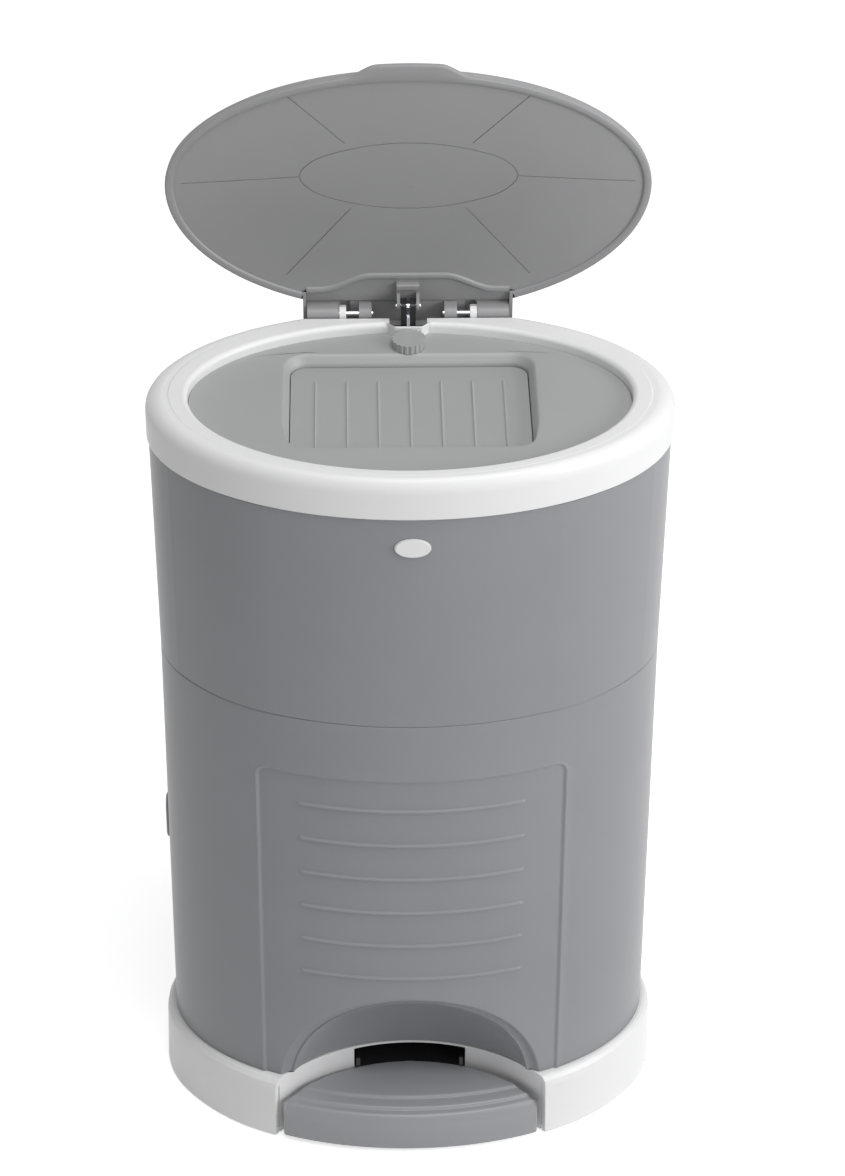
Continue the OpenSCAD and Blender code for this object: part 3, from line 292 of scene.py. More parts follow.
def swell(away):
    """A soft bump: (1 + cos(pi s)) / 2, which falls from 1 at s = 0 to 0 at s = 1."""
    return 0.5 + 0.5 * np.cos(np.pi * np.minimum(away, 1.0))


def door_relief(x, z):
    """Millimetres by which the face stands out: the sunk panel falls away over 2.4 mm at the edge
    of a rounded rectangle, with a low bead round it. Each rib has round ends."""
    beside = np.abs(x) - (panel_half_w - panel_corner)
    above = z - (panel_top - panel_corner)
    edge = np.hypot(np.maximum(beside, 0), np.maximum(above, 0))
    edge = edge + np.minimum(np.maximum(beside, above), 0) - panel_corner
    relief = bead_h * swell(np.abs(edge - bead_out) / bead_half_w) - panel_depth * smooth(1.2, -1.2, edge)
    for height in rib_heights:
        away = np.hypot(np.maximum(np.abs(x) - rib_half_w, 0), z - height)
        relief = relief + rib_h * swell(away / rib_reach)
    return relief


(_, _, door_bottom), (door_right, _, door_top) = box_mm("door")
shell_wall = 3.0
panel_half_w, panel_top, panel_corner, panel_depth = 110.0, 352.0, 8.0, 1.25
bead_h, bead_out, bead_half_w = 0.45, 1.6, 1.8
rib_half_w, rib_h, rib_reach, rib_heights = 80.2, 1.5, 1.9, 167.0 + 31.6 * np.arange(6)
arch_z, arch_r, arch_sink, arch_round, arch_lip = 40.5, 106.0, 56.6, 8.3, 7.5
fan_top, ring_w = 158.0, 8.0

foot = np.radians(80.78)
arch_turn = foot * np.linspace(-1, 1, 171)


def arch_reach(radius):
    """Radius, seen from the front, at which the arch's ellipsoid meets the oval face in each
    direction: r = R sqrt(1 - (depth / sink)^2), where the depth follows from x = r sin a."""
    reach = np.full_like(arch_turn, radius)
    for _ in range(12):
        depth = half_d - body_front(reach * np.sin(arch_turn))
        reach = radius * np.sqrt(1.0 - (depth / arch_sink) ** 2)
    return reach


def arch_ring(out):
    """Front-view places at a distance out from the arch's edge, level with it at the feet."""
    reach = arch_reach(arch_r)
    level = smooth(np.radians(55.0), foot, np.abs(arch_turn))
    x = (reach + out) * np.sin(arch_turn)
    return x, arch_z + (reach + out * (1.0 - level)) * np.cos(arch_turn)


def arch_dome(radius, share, thick=0.0):
    """Places on the ellipsoid that the foot goes into, share of the way from the face to the
    bottom edge, moved by thick along the normal x/R^2, y/s^2, z/R^2."""
    behind = half_d - body_front(arch_reach(radius) * np.sin(arch_turn))
    start = np.arcsin((behind + arch_lip) / arch_sink)
    ends = np.arccos(np.clip((door_bottom - arch_z) / (radius * np.cos(arch_turn)), 0.0, 1.0))
    tilt = start + (np.maximum(ends, start) - start) * share
    spot = np.stack([radius * np.cos(tilt) * np.sin(arch_turn), arch_sink * np.sin(tilt),
                     radius * np.cos(tilt) * np.cos(arch_turn)], -1)
    normal = spot / np.array([radius, arch_sink, radius]) ** 2
    spot = spot + thick * normal / np.linalg.norm(normal, axis=1, keepdims=True)
    spot[:, 2] = np.maximum(spot[:, 2], door_bottom - arch_z)
    return spot + np.array([0.0, -half_d, arch_z])


side_turn = np.linspace(0.0, np.arccos((panel_half_w + 3.0) / half_w), 26)
side_x = np.concatenate([half_w * np.cos(side_turn), panel_half_w + np.linspace(2.0, -2.6, 21)])
ring_x, ring_z = arch_ring(ring_w)
inner_top = ring_x[-1] * np.sin(arch_turn) / np.sin(foot)
column_x = np.concatenate([-side_x, inner_top, side_x[::-1]])
inner = slice(len(side_x), len(side_x) + len(arch_turn))

near_rib = np.array([10.0, 2.4, 1.9, 1.6, 1.3, 1.0, 0.7, 0.35, 0.0])
rows_z = np.concatenate([
    [door_top - 0.8, 399.0, 392.0, 380.0, 368.0, 358.0], panel_top + np.linspace(2.0, -10.0, 25),
    (rib_heights[:, None] + np.concatenate([near_rib, -near_rib])).ravel(), [fan_top],
])
rows_z = np.unique(rows_z[rows_z >= fan_top])[::-1]


def spread(inner_places, outer_places):
    """One row of the door: the arch's places in the middle and the others at the sides."""
    row = outer_places.copy()
    row[inner] = inner_places
    return row


def fan(share, foot_z):
    """Front-view places of a row that is share of the way from the level row above the arch to the
    ring round it. At the sides it sinks by the same share towards foot_z."""
    x, z = column_x.copy(), np.full_like(column_x, fan_top + (foot_z - fan_top) * share)
    x[inner] = inner_top + (ring_x - inner_top) * share
    z[inner] = fan_top + (ring_z - fan_top) * share
    return x, z


outside = []
for off, drop in [(-1.2, 0.0), (-0.5, 0.08), (-0.12, 0.35)]:
    outside.append(on_face(column_x, door_top - drop, off))
for z in rows_z:
    outside.append(on_face(column_x, z, door_relief(column_x, z)))
for share in np.linspace(0.0, 1.0, 15)[1:]:
    x, z = fan(share, door_bottom)
    outside.append(on_face(x, z, door_relief(x, z)))
side_relief = door_relief(column_x, 100.0)
lip = [5.5, 3.5, 2.0, 1.0, 0.4, 0.0]
rim_round = [(0.3, 0.05), (0.8, 0.3), (1.4, 0.8), (2.0, 1.7), (3.2, 3.3), (5.0, 4.9), (6.4, 5.7), (7.0, 5.7),
             (7.4, 5.3), (7.9, 5.15), (8.4, 5.4), (8.8, 6.2)]
dome = np.linspace(0.0, 1.0, 24) ** 1.1
under = len(lip) + len(rim_round) + len(dome)
for k in range(under):
    share = (k + 1) / under
    sides = on_face(column_x, door_bottom, side_relief * (1 - share) - shell_wall * share)
    if k < len(lip):
        x, z = arch_ring(lip[k])
        middle = on_face(x, z, door_relief(x, z))
    elif k < len(lip) + len(rim_round):
        inward, deep = rim_round[k - len(lip)]
        reach = arch_reach(arch_r) - inward
        x, z = reach * np.sin(arch_turn), arch_z + reach * np.cos(arch_turn)
        middle = on_face(x, np.maximum(z, door_bottom), -deep - panel_depth)
    else:
        middle = arch_dome(arch_r - arch_round, dome[k - len(lip) - len(rim_round)])
    outside.append(spread(middle, sides))
inside = []
for k, share in enumerate([1.0, 0.8, 0.6, 0.4, 0.25, 0.12]):
    sides = on_face(column_x, door_bottom + 0.6 * (k + 1), -shell_wall)
    inside.append(spread(arch_dome(arch_r - arch_round, share, shell_wall), sides))
for share in [1.0, 0.5, 0.0]:
    inside.append(on_face(*fan(share, door_bottom + 6.0), -shell_wall))
for z in [220.0, 300.0, 360.0, 396.0, door_top]:
    inside.append(on_face(column_x, z, -shell_wall))
solid("door_shell", np.stack(outside + inside, 1), grey_shell, "grey_shell", "front_door", "door")

barrel_r = 6.0
turn_round = np.linspace(0, 2 * np.pi, 49)[:-1]


def disc(x, y, z, radius):
    """A level circle: x + r cos a, y + r sin a."""
    return np.stack([x + radius * np.cos(turn_round), y + radius * np.sin(turn_round),
                     np.full_like(turn_round, z)], -1)


barrel = [disc(door_right - barrel_r, 0.0, z, barrel_r - less) for z, less in [
    (door_bottom, 0.8), (door_bottom + 0.2, 0.2), (door_bottom + 0.8, 0.0),
    (door_top - 0.8, 0.0), (door_top - 0.2, 0.2), (door_top, 0.8)]]
solid("door_barrel", np.stack(barrel), grey_shell, "grey_shell", "front_door")


# The white collar: one polypropylene ring with a soft round shoulder, snapped over the top of the
# body. At the back it drops to the floor of the hinge pocket, where two ears carry the lid's pins.
def rounded(corners, steps=6, hold=0.3):
    """An outline from corners (x, y, radius): each corner becomes the arc that touches both of its
    sides. The point before and the one after it hold the straight sides flat."""
    points = []
    for k, (x, y, radius) in enumerate(corners):
        here = np.array([x, y])
        before = np.subtract(corners[k - 1][:2], here)
        after = np.subtract(corners[(k + 1) % len(corners)][:2], here)
        before, after = before / np.linalg.norm(before), after / np.linalg.norm(after)
        half = np.arccos(np.clip(before @ after, -1, 1)) / 2
        run = radius / np.tan(half)
        centre = here + (before + after) / np.linalg.norm(before + after) * radius / np.sin(half)
        start, end = here + before * run - centre, here + after * run - centre
        swing = np.pi - 2 * half
        s = np.linspace(0, 1, steps)[:, None]
        arc = centre + (np.sin((1 - s) * swing) * start + np.sin(s * swing) * end) / np.sin(swing)
        points += [here + before * (run + hold), *arc, here + after * (run + hold)]
    return np.array(points)


def ellipse(turn, half_x, half_y):
    """Points (a cos t, b sin t) of an ellipse."""
    return np.stack([half_x * np.cos(turn), half_y * np.sin(turn)], -1)


white_shell = moulded("glossy_white", (0.74, 0.74, 0.745), 0.36, 0.9, 0.01, uneven=0.01, gloss=0.35)
collar_low, collar_top, collar_wall, collar_w = 580.9, 611.5, 3.0, 26.0
collar_hem, collar_ceiling = 600.0, 608.5
collar_outer, collar_inner, collar_front = (183.8, 113.8), (154.3, 89.3), -97.5
seat_step, seat_in, seat_out = 0.4, 11.5, 12.1
pocket_half_w, pocket_front, pocket_floor, notch_half_w = 77.0, 97.0, 593.0, 13.5

collar_end = [np.arccos(pocket_half_w / side) for side in (collar_outer[0], collar_inner[0])]
way = np.linspace(0.0, 1.0, 221)
out_turn, in_turn = (end - (2 * end + np.pi) * way for end in collar_end)
out_place, in_place = ellipse(out_turn, *collar_outer), ellipse(in_turn, *collar_inner)
in_place[:, 1] *= np.where(np.sin(in_turn) < 0, collar_front / -collar_inner[1], 1.0)
collar_line = rounded([
    (0, collar_hem, 0.6), (0, collar_top, 3.4), (seat_in, collar_top, 0.3),
    (seat_out, collar_top - seat_step, 0.3), (collar_w, collar_top - seat_step, 10.0),
    (collar_w, collar_low, 0.5), (collar_w - collar_wall, collar_low, 0.5),
    (collar_w - collar_wall, collar_ceiling, 7.0), (collar_wall, collar_ceiling, 0.5),
    (collar_wall, collar_hem, 0.5),
])
share = collar_line[None, :, :1] / collar_w
flat = in_place[:, None] * (1 - share) + out_place[:, None] * share
level = np.broadcast_to(collar_line[:, 1], flat.shape[:2])
behind = smooth(-0.45, 0.15, np.sin(out_turn))[:, None]
shoulder = (level > collar_hem - 1) & (collar_line[None, :, 0] > seat_out - 0.2)
level = level + (1 - behind) * seat_step * shoulder * smooth(collar_hem - 1, collar_top - 0.5, level)
ring = np.concatenate([flat, level[:, :, None]], 2)
solid("collar_ring", ring, white_shell, "white_shell", "bin", "collar")


def hand(side):
    """The word for a side: -1 is the left and 1 the right, as seen from the front."""
    return "left" if side < 0 else "right"


def across_sections(x, outline):
    """A section (y, z) at each x. The outline is a function of x that gives its corners."""
    rows = [rounded(outline(value)) for value in x]
    return np.stack([np.column_stack([np.full(len(row), value), row]) for value, row in zip(x, rows)])


def rear_y(plan, x):
    """The back of an ellipse over x: b sqrt(1 - x^2 / a^2)."""
    return plan[1] * np.sqrt(1 - (x / plan[0]) ** 2)


def bridge(x):
    """The front wall of the pocket, its floor and the skirt below it."""
    y_in, y_out = rear_y(collar_inner, x), rear_y(collar_outer, x)
    lining_y, lining_z = pocket_front - collar_wall, pocket_floor - 2.5
    return [(y_in, collar_hem, 0.6), (y_in, collar_top, 3.4), (pocket_front, collar_top, 1.5),
            (pocket_front, pocket_floor, 0.8), (y_out, pocket_floor, 1.4), (y_out, collar_low, 0.4),
            (y_out - collar_wall, collar_low, 0.4), (y_out - collar_wall, lining_z, 0.5),
            (lining_y, lining_z, 0.5), (lining_y, collar_ceiling, 0.5),
            (y_in + collar_wall, collar_ceiling, 0.5), (y_in + collar_wall, collar_hem, 0.5)]


hinge_y, hinge_z, ear_r = 104.0, 611.0, 6.0
ear_line = [(hinge_y - ear_r, pocket_floor - 0.2, 0.2), (hinge_y - ear_r, hinge_z + ear_r, ear_r - 0.01),
            (hinge_y + ear_r, hinge_z + ear_r, ear_r - 0.01), (hinge_y + ear_r, pocket_floor - 0.2, 0.2)]
for side in (-1, 1):
    run = side * np.linspace(notch_half_w, pocket_half_w, 25)
    solid(f"collar_bridge_{hand(side)}", across_sections(run, bridge), white_shell, "white_shell", "bin")
    ear = across_sections(side * np.array([44.2, 44.6, 48.7, 49.1]), lambda x: ear_line)
    ear[[0, -1], :, 1:] += 0.06 * (np.array([hinge_y, hinge_z]) - ear[[0, -1], :, 1:])
    solid(f"collar_ear_{hand(side)}", ear, white_shell, "white_shell", "bin")


def skirt(x):
    """The strip of skirt behind the notch for the lift rod."""
    y_out = rear_y(collar_outer, x)
    return [(y_out, pocket_floor, 1.2), (y_out, collar_low, 0.4), (y_out - collar_wall, collar_low, 0.4),
            (y_out - collar_wall, pocket_floor, 0.4)]


behind_notch = across_sections(np.linspace(-notch_half_w, notch_half_w, 7), skirt)
solid("collar_skirt", behind_notch, white_shell, "white_shell", "bin")

guard_y, guard_w, guard_half_w = 84.4, 1.4, 15.6
guard_line = [(guard_y, collar_hem, 0.4), (guard_y, collar_top, 0.65),
              (guard_y + guard_w, collar_top, 0.65), (guard_y + guard_w, collar_hem, 0.4)]
guard = across_sections(np.linspace(-guard_half_w, guard_half_w, 53), lambda x: guard_line)
guard[:, :, 1] += 5.0 * smooth(9.0, guard_half_w, np.abs(guard[:, :, 0]))
solid("collar_notch_guard", guard, white_shell, "white_shell", "bin")


# The lid: a domed grey polypropylene cover with a finger tab, a flat liner snapped into it from
# below, and the nylon bracket with the hinge lugs. It is drawn shut and stands open by 84 degrees.
lid_opening = np.radians(84.0)


def opened(places):
    """Turns places about the hinge: y' = y cos a + z sin a, z' = z cos a - y sin a, from the pin."""
    y, z = places[..., 1] - hinge_y, places[..., 2] - hinge_z
    return np.stack([places[..., 0], hinge_y + y * np.cos(lid_opening) + z * np.sin(lid_opening),
                     hinge_z + z * np.cos(lid_opening) - y * np.sin(lid_opening)], -1)


lid_grey = moulded("satin_grey", (0.285, 0.285, 0.29), 0.42, 0.8, 0.015, gloss=0.4)
dress(lid_grey, "lid_bracket", "lid_liner")
lid_half_w, lid_front, lid_rear, lid_y = 169.5, 93.0, 109.0, -5.0
tab_out, tab_base, tab_tip = 7.6, 43.0, 22.0
raised_half_w, raised_z = 74.0, 620.9
lid_turn = np.linspace(0, 2 * np.pi, 361)[:-1]


def lid_loop(inward, z, tab=0.0):
    """The lid's outline moved inwards: an oval whose front and rear halves have their own depth,
    with the finger tab added at the front, which rises as 3 s^2 - 2 s^3 from its base to its tip.
    Above the hinge the outline stays high, so that the housing has room."""
    depth = np.where(np.sin(lid_turn) < 0, lid_front, lid_rear) - inward
    x, y = (lid_half_w - inward) * np.cos(lid_turn), lid_y + depth * np.sin(lid_turn)
    front = np.sin(lid_turn) < 0
    y = y - tab * tab_out * front * smooth(tab_base, tab_tip, np.abs(x))
    over_hinge = ~front & (np.abs(x) < raised_half_w)
    return np.stack([x, y, np.where(over_hinge, max(z, raised_z), z)], -1)


cover_under = [(90, 628.6, 0), (60, 628.6, 0), (30, 628.4, 0), (20, 627.2, 0), (13.5, 625.2, 0),
               (9, 622.5, 0), (6.6, 619.5, 0), (6.0, 616.5, 0), (5.9, 613.4, 0), (5.4, 612.5, 0),
               (4.8, 612.2, 0.05)]
cover_edge = [(3.0, 612.1, 0.5), (1.0, 612.1, 0.93), (0.4, 612.3, 0.98), (0.05, 612.8, 1.0),
              (0, 613.6, 1.0), (0, 615.2, 1.0), (0.3, 616.0, 0.97), (0.9, 616.4, 0.9),
              (1.2, 616.6, 0.45), (0.7, 617.2, 0.08)]
cover_top = [(0.4, 618.2, 0), (0.7, 620.0, 0), (1.9, 622.2, 0), (4.2, 624.6, 0), (7.6, 626.8, 0),
             (12.5, 628.7, 0), (18.5, 630.0, 0), (25, 630.6, 0), (33, 630.8, 0), (60, 630.8, 0),
             (90, 630.8, 0)]
cover = np.array([lid_loop(*row) for row in cover_under + cover_edge + cover_top])
solid("lid_dome", opened(cover), lid_grey, "lid_grey", "lid", "lid_cover")

housing_half_w, housing_front, housing_y, housing_low, housing_top, housing_wall = (
    74.8, 86.0, 118.0, 612.3, 623.1, 2.4)


def housing(x):
    """The box over the hinge, whose rear edge is rounded and whose front runs into the dome."""
    inner_y, inner_z = housing_y - housing_wall, housing_top - housing_wall
    return [(housing_front, 622.4, 0.4), (96.0, housing_top, 3.0), (housing_y, housing_top, 3.0),
            (housing_y, housing_low, 0.8), (inner_y, housing_low, 0.8), (inner_y, inner_z, 1.0),
            (housing_front, inner_z, 0.3)]


to_end = np.array([0.2, 0.6, 0.987, 0.995, 0.9985, 1.0])
box_x = np.concatenate([-to_end[::-1], to_end]) * housing_half_w
solid("lid_housing", opened(across_sections(box_x, housing)), lid_grey, "lid_grey", "lid")
cheek_line = [(housing_front, housing_low, 0.5), (housing_y, housing_low, 0.5),
              (housing_y, housing_top, 3.0), (92.0, housing_top, 3.0)]
for side in (-1, 1):
    wall_x = side * (housing_half_w - np.array([housing_wall, 2.3, 0.4, 0.0]))
    cheek = across_sections(wall_x, lambda x: cheek_line)
    solid(f"lid_housing_side_{hand(side)}", opened(cheek), lid_grey, "lid_grey", "lid")


def ridge(x):
    """The bead that borders the liner's rear, and the apron that runs from it to the hinge."""
    y = 73.0 + 12.0 * smooth(26.0, 62.0, abs(x))
    return [(y - 3.6, 614.2, 0.4), (y - 1.4, 612.4, 2.0), (y + 1.4, 612.4, 2.0), (y + 3.4, 614.4, 1.0),
            (97.0, 616.9, 0.3), (97.0, 617.4, 0.3), (y - 3.6, 615.2, 0.3)]


for side in (-1, 1):
    bead = across_sections(side * np.linspace(8.1, 72.2, 41), ridge)
    solid(f"liner_ridge_{hand(side)}", opened(bead), lid_grey, "lid_grey", "lid")

saddle_line = [
    (69.4, 615.2, 0.2), (69.4, 614.2, 0.3), (71.6, 612.4, 1.3), (74.4, 612.4, 1.3), (76.2, 614.0, 0.8),
    (79.2, 614.0, 0.4), (79.5, 610.7, 0.9), (83.8, 610.7, 0.9), (84.1, 612.7, 0.5), (95.0, 612.8, 0.4),
    (95.0, 614.4, 0.3), (82.0, 615.2, 0.3),
]
saddle = across_sections(np.array([-8.2, -7.9, 7.9, 8.2]), lambda x: saddle_line)
solid("liner_saddle", opened(saddle), lid_grey, "lid_grey", "lid")
gate = np.array([disc(3.0, -5.0, z, r) for r, z in [(1.3, 613.8), (1.2, 613.4), (0.4, 613.2)]])
solid("liner_gate_mark", opened(gate), lid_grey, "lid_grey", "lid")


# The tray inside the collar: a satin polypropylene moulding whose soft-edged mouth leads into the
# chute. Below the mouth hangs the ribbed flap, which swings down on a steel pin under its rear edge.
deck_grey = moulded("tray_grey", (0.35, 0.36, 0.355), 0.45, 0.8, 0.02, gloss=0.4)
deck_half_w, deck_rear, deck_front = 154.0, 89.0, -collar_front - 0.3
deck_top, deck_under, crank_room = 603.5, 601.0, 3.6
mouth_half_w, mouth_front, mouth_rear, mouth_corner = 83.9, -57.9, 56.9, 12.0
deck_turn = np.linspace(0, 2 * np.pi, 361)[:-1]


def mouth_edge(out):
    """The mouth's rounded rectangle moved outwards. Each direction from its middle is given the
    distance at which it meets the outline, read off the outline's own points."""
    middle = (mouth_front + mouth_rear) / 2
    low, high, wide, r = mouth_front - out, mouth_rear + out, mouth_half_w + out, mouth_corner + out
    edge = rounded([(wide, low, r), (wide, high, r), (-wide, high, r), (-wide, low, r)], 12)
    fine = np.linspace(0, len(edge), 6000, endpoint=False)
    wrapped = np.concatenate([edge, edge[:1]])
    dense = np.stack([np.interp(fine, np.arange(len(wrapped)), wrapped[:, k]) for k in (0, 1)], -1)
    dense[:, 1] -= middle
    order = np.argsort(np.arctan2(dense[:, 1], dense[:, 0]))
    angles, reach = np.arctan2(dense[order, 1], dense[order, 0]), np.hypot(*dense[order].T)
    reach = np.interp(deck_turn, angles % (2 * np.pi), reach, period=2 * np.pi)
    return np.stack([reach * np.cos(deck_turn), middle + reach * np.sin(deck_turn)], -1)


def mouth_loop(out, z):
    """The mouth's edge at height z. Its soft lip is out mm wide at the back and the sides, and a
    fifth of that at the front, with a smooth change between."""
    wall = mouth_edge(0.0)
    share = 0.2 + 0.8 * smooth(-56.0, -20.0, wall[:, 1:])
    return np.column_stack([wall + (mouth_edge(out) - wall) * share, np.full_like(deck_turn, z)])


def deck_loop(inward, z):
    """The tray's oval edge, moved inwards. It is deeper at the front, and falls back in the middle
    of the rear, where the lid's crank needs room."""
    x = (deck_half_w - inward) * np.cos(deck_turn)
    deep = np.where(deck_turn > np.pi, deck_front, deck_rear) - inward
    y = deep * np.sin(deck_turn) - crank_room * (deck_turn < np.pi) * (1 - smooth(8.5, 14.0, np.abs(x)))
    return np.stack([x, y, np.full_like(deck_turn, z)], -1)


deck_rows = [deck_loop(inward, z) for inward, z in [
    (0.0, deck_under), (0.0, deck_top - 0.4), (0.4, deck_top), (1.4, deck_top)]]
deck_rows += [mouth_loop(out, z) for out, z in [
    (7.0, deck_top), (5.2, deck_top), (4.6, 603.4), (4.0, 603.1), (3.3, 602.4), (2.5, 601.2), (1.6, 599.7),
    (0.9, 598.7), (0.4, 597.8), (0.1, 596.8), (0.0, 595.4), (0.0, 583.2), (0.3, 582.8), (2.2, 582.8),
    (2.5, 583.2), (2.5, 598.0), (4.2, deck_under), (7.0, deck_under)]]
solid("tray", np.array(deck_rows), deck_grey, "deck_grey", "bin", "deck", ring=True)

flap_half_w, flap_front, flap_rear, flap_corner = 83.3, -57.3, 56.3, 11.4
flap_top, flap_bottom, flap_length = 595.3, 592.3, 113.6
flap_rib_h, flap_rib_reach, flap_rib_x = 0.8, 1.1, 22.0 * np.arange(-3, 4)

to_rib = np.array([-1.6, -1.1, -0.8, -0.5, -0.2, 0.2, 0.5, 0.8, 1.1, 1.6])
corner_x = flap_half_w - flap_corner + flap_corner * np.sin(np.radians(np.linspace(0, 90, 16)))
flap_x = np.unique(np.concatenate([-corner_x, corner_x, (flap_rib_x[:, None] + to_rib).ravel()]))
past_corner = np.maximum(np.abs(flap_x) - flap_half_w + flap_corner, 0)
inset = np.minimum(flap_corner - np.sqrt(flap_corner**2 - past_corner**2), flap_corner - 0.4)
front, rear = flap_front + inset, flap_rear - inset
along = np.concatenate([[0, 0.15, 0.6, 4.0, 4.6, 5.6, 7.0], np.linspace(12, 88, 20),
                        [93.6, 95.0, 96.6, 100.0, 113.0, 113.45, flap_length]])
flap_y = np.clip(flap_front + along[None, :], front[:, None], rear[:, None])
flap_y[:, :3] = front[:, None] + along[:3]
flap_y[:, -3:] = rear[:, None] - (flap_length - along[-3:])
beside = np.abs(flap_x[:, None] - flap_rib_x).min(1)
ribs = flap_rib_h * swell(beside / flap_rib_reach)[:, None]
ribs = ribs * smooth(-53.3, -50.6, flap_y) * smooth(38.4, 35.6, flap_y)
drop = np.zeros_like(flap_y)
drop[:, [0, -1]], drop[:, [1, -2]] = 0.6, 0.15
flap_z = flap_top + ribs - drop
below_y = np.stack([rear - 0.2, rear - 0.6, front + 0.6, front + 0.2], 1)
below_z = np.broadcast_to(flap_bottom + np.array([0.4, 0.0, 0.0, 0.4]), below_y.shape)
flap_y, flap_z = np.concatenate([flap_y, below_y], 1), np.concatenate([flap_z, below_z], 1)
flap_grid = np.stack([np.broadcast_to(flap_x[:, None], flap_y.shape), flap_y, flap_z], -1)
solid("flap_plate", flap_grid, deck_grey, "deck_grey", "flap", "trap_flap")

flap_pin_y, flap_pin_z, hub_r = 52.5, 586.8, 3.8
hub_line = [(flap_pin_y - hub_r, flap_pin_z - hub_r, 3.6), (flap_pin_y + hub_r, flap_pin_z - hub_r, 3.6),
            (flap_pin_y + hub_r, flap_bottom + 0.2, 0.3), (flap_pin_y - hub_r, flap_bottom + 0.2, 0.3)]
for name, low, high in (("left", -72, -61), ("middle", -8, 8), ("right", 61, 72)):
    hub = across_sections(np.array([low, low + 0.3, high - 0.3, high]), lambda x: hub_line)
    solid(f"flap_hub_{name}", hub, deck_grey, "deck_grey", "flap")
dress(deck_grey, "lock_knob")


# The foot pedal: a grey ABS moulding on the front end of the black lever. Its top falls in two
# shallow steps to a rounded nose, and its rear edge follows the round recess of the base.
pedal_half_w, pedal_rear_r, recess_y, nose_out = 96.5, 135.0, -194.0, 9.9
pedal_rise = np.array([
    (0.9, 5.0), (0.2, 5.5), (0.0, 6.4), (0.25, 14.0), (0.5, 19.0), (0.9, 22.6), (1.6, 25.4), (2.7, 28.4),
    (4.0, 31.0), (5.4, 33.0), (7.4, 34.1), (10.4, 34.4), (11.0, 34.5), (11.5, 34.9), (12.0, 35.6),
    (12.7, 36.2), (13.8, 36.5), (17.0, 36.7), (20.4, 36.9), (21.0, 37.0), (21.5, 37.4), (22.0, 38.2),
    (22.8, 38.7), (24.4, 38.9), (34.0, 39.3), (46.0, 39.7), (60.0, 39.9),
])
pedal_tail_y, pedal_tail_z = np.array([-0.2, 0.0, 0.0, -0.3, -2.2, -2.5, -3.0]), [24.0, 8.2, 5.4, 5.1, 5.0]


def pedal_sections(x):
    """Outlines (y, z) over x. The nose stands 9.9 mm out from the body's oval, each step lies at its
    own distance from it, and everything stays in front of the arc y = -194 + sqrt(135^2 - x^2). The
    last step fades out at the ends, so the raised pedal passes below the door's feet."""
    front = -(half_d + nose_out) * np.sqrt(1 - (x / (half_w + nose_out)) ** 2)
    rear = recess_y + np.sqrt(pedal_rear_r**2 - x**2)
    y = front[:, None] + pedal_rise[None, :, 0]
    z = np.broadcast_to(pedal_rise[None, :, 1], y.shape)
    z = z - 2.4 * smooth(78.0, 88.0, np.abs(x))[:, None] * smooth(36.9, 38.9, z)
    limit = rear[:, None] - 0.8
    z = np.where(y > limit, z - 0.4, z)
    last = z[:, -1:]
    tail_z = np.concatenate([last - 0.3, last - 1.2, np.tile(pedal_tail_z, (len(x), 1))], 1)
    y = np.concatenate([np.minimum(y, limit), rear[:, None] + pedal_tail_y], 1)
    z = np.concatenate([z, np.minimum(tail_z, last - 0.2)], 1)
    return np.stack([np.broadcast_to(x[:, None], y.shape), y, z], -1)


edge_from = 0.985
pedal_end = np.array([0.994, 0.998, 0.9995, 1])
pedal_share = np.concatenate([-pedal_end[::-1], np.linspace(-edge_from, edge_from, 121), pedal_end])
pedal = pedal_sections(pedal_share * pedal_half_w)
into_edge = np.clip((np.abs(pedal_share) - edge_from) / (1 - edge_from), 0, 1)
edge_fade = 1.2 * (1 - np.sqrt(1 - into_edge**2))
from_middle = pedal - pedal.mean(1, keepdims=True)
span = np.abs(from_middle).max(1, keepdims=True)
shrink = np.minimum(edge_fade[:, None, None], span) * [0, 1, 1]
pedal = pedal - np.sign(from_middle) * shrink * (np.abs(from_middle) > 0.7 * span)
pedal_grey = moulded("pedal_grey", (0.275, 0.28, 0.295), 0.3, 1.0, 0.012, gloss=0.45)
solid("foot_pedal_top", pedal, pedal_grey, "grey_shell", "foot_pedal", "pedal")


# The door's latch: an oblong grey push button in the left side of the rear shell, rounded at its
# edge, on a nylon frame and spring inside the wall.
latch_y, latch_z = 15.0, 225.0


def button_loop(x, shrink):
    """The button's outline at x: a rounded oblong 19.6 by 37.6 mm, made smaller by shrink."""
    half, tall = 9.8 - shrink, 18.8 - shrink
    around = ((-half, -tall), (half, -tall), (half, tall), (-half, tall))
    edge = rounded([(latch_y + y, latch_z + z, half - 0.4) for y, z in around], 9)
    return np.column_stack([np.full(len(edge), x), edge])


button = [button_loop(x, shrink) for x, shrink in [
    (-158.0, 0.0), (-180.6, 0.0), (-181.4, 0.25), (-182.0, 0.8), (-182.4, 1.7), (-182.6, 3.0),
    (-182.7, 5.0)]]
solid("latch_push_button", np.array(button), grey_shell, "grey_shell", "latch", "latch_button")


# The lift: a steel rod that runs up inside the rear wall to a black nylon fork. The fork's open slot
# lifts the crank pin between the two cheeks of the lid's bracket. The springs are wound steel wire.
def moved_round(path, out, along_x):
    """A round profile carried along a path: p + r (n cos a + b sin a), where n and b are square to
    the path's direction."""
    ahead = np.gradient(path, axis=0)
    ahead /= np.linalg.norm(ahead, axis=1, keepdims=True)
    side = np.cross(ahead, along_x)
    side /= np.linalg.norm(side, axis=1, keepdims=True)
    other = np.cross(ahead, side)
    a = np.linspace(0, 2 * np.pi, 13)[:-1][None, :, None]
    return path[:, None] + out * (side[:, None] * np.cos(a) + other[:, None] * np.sin(a))


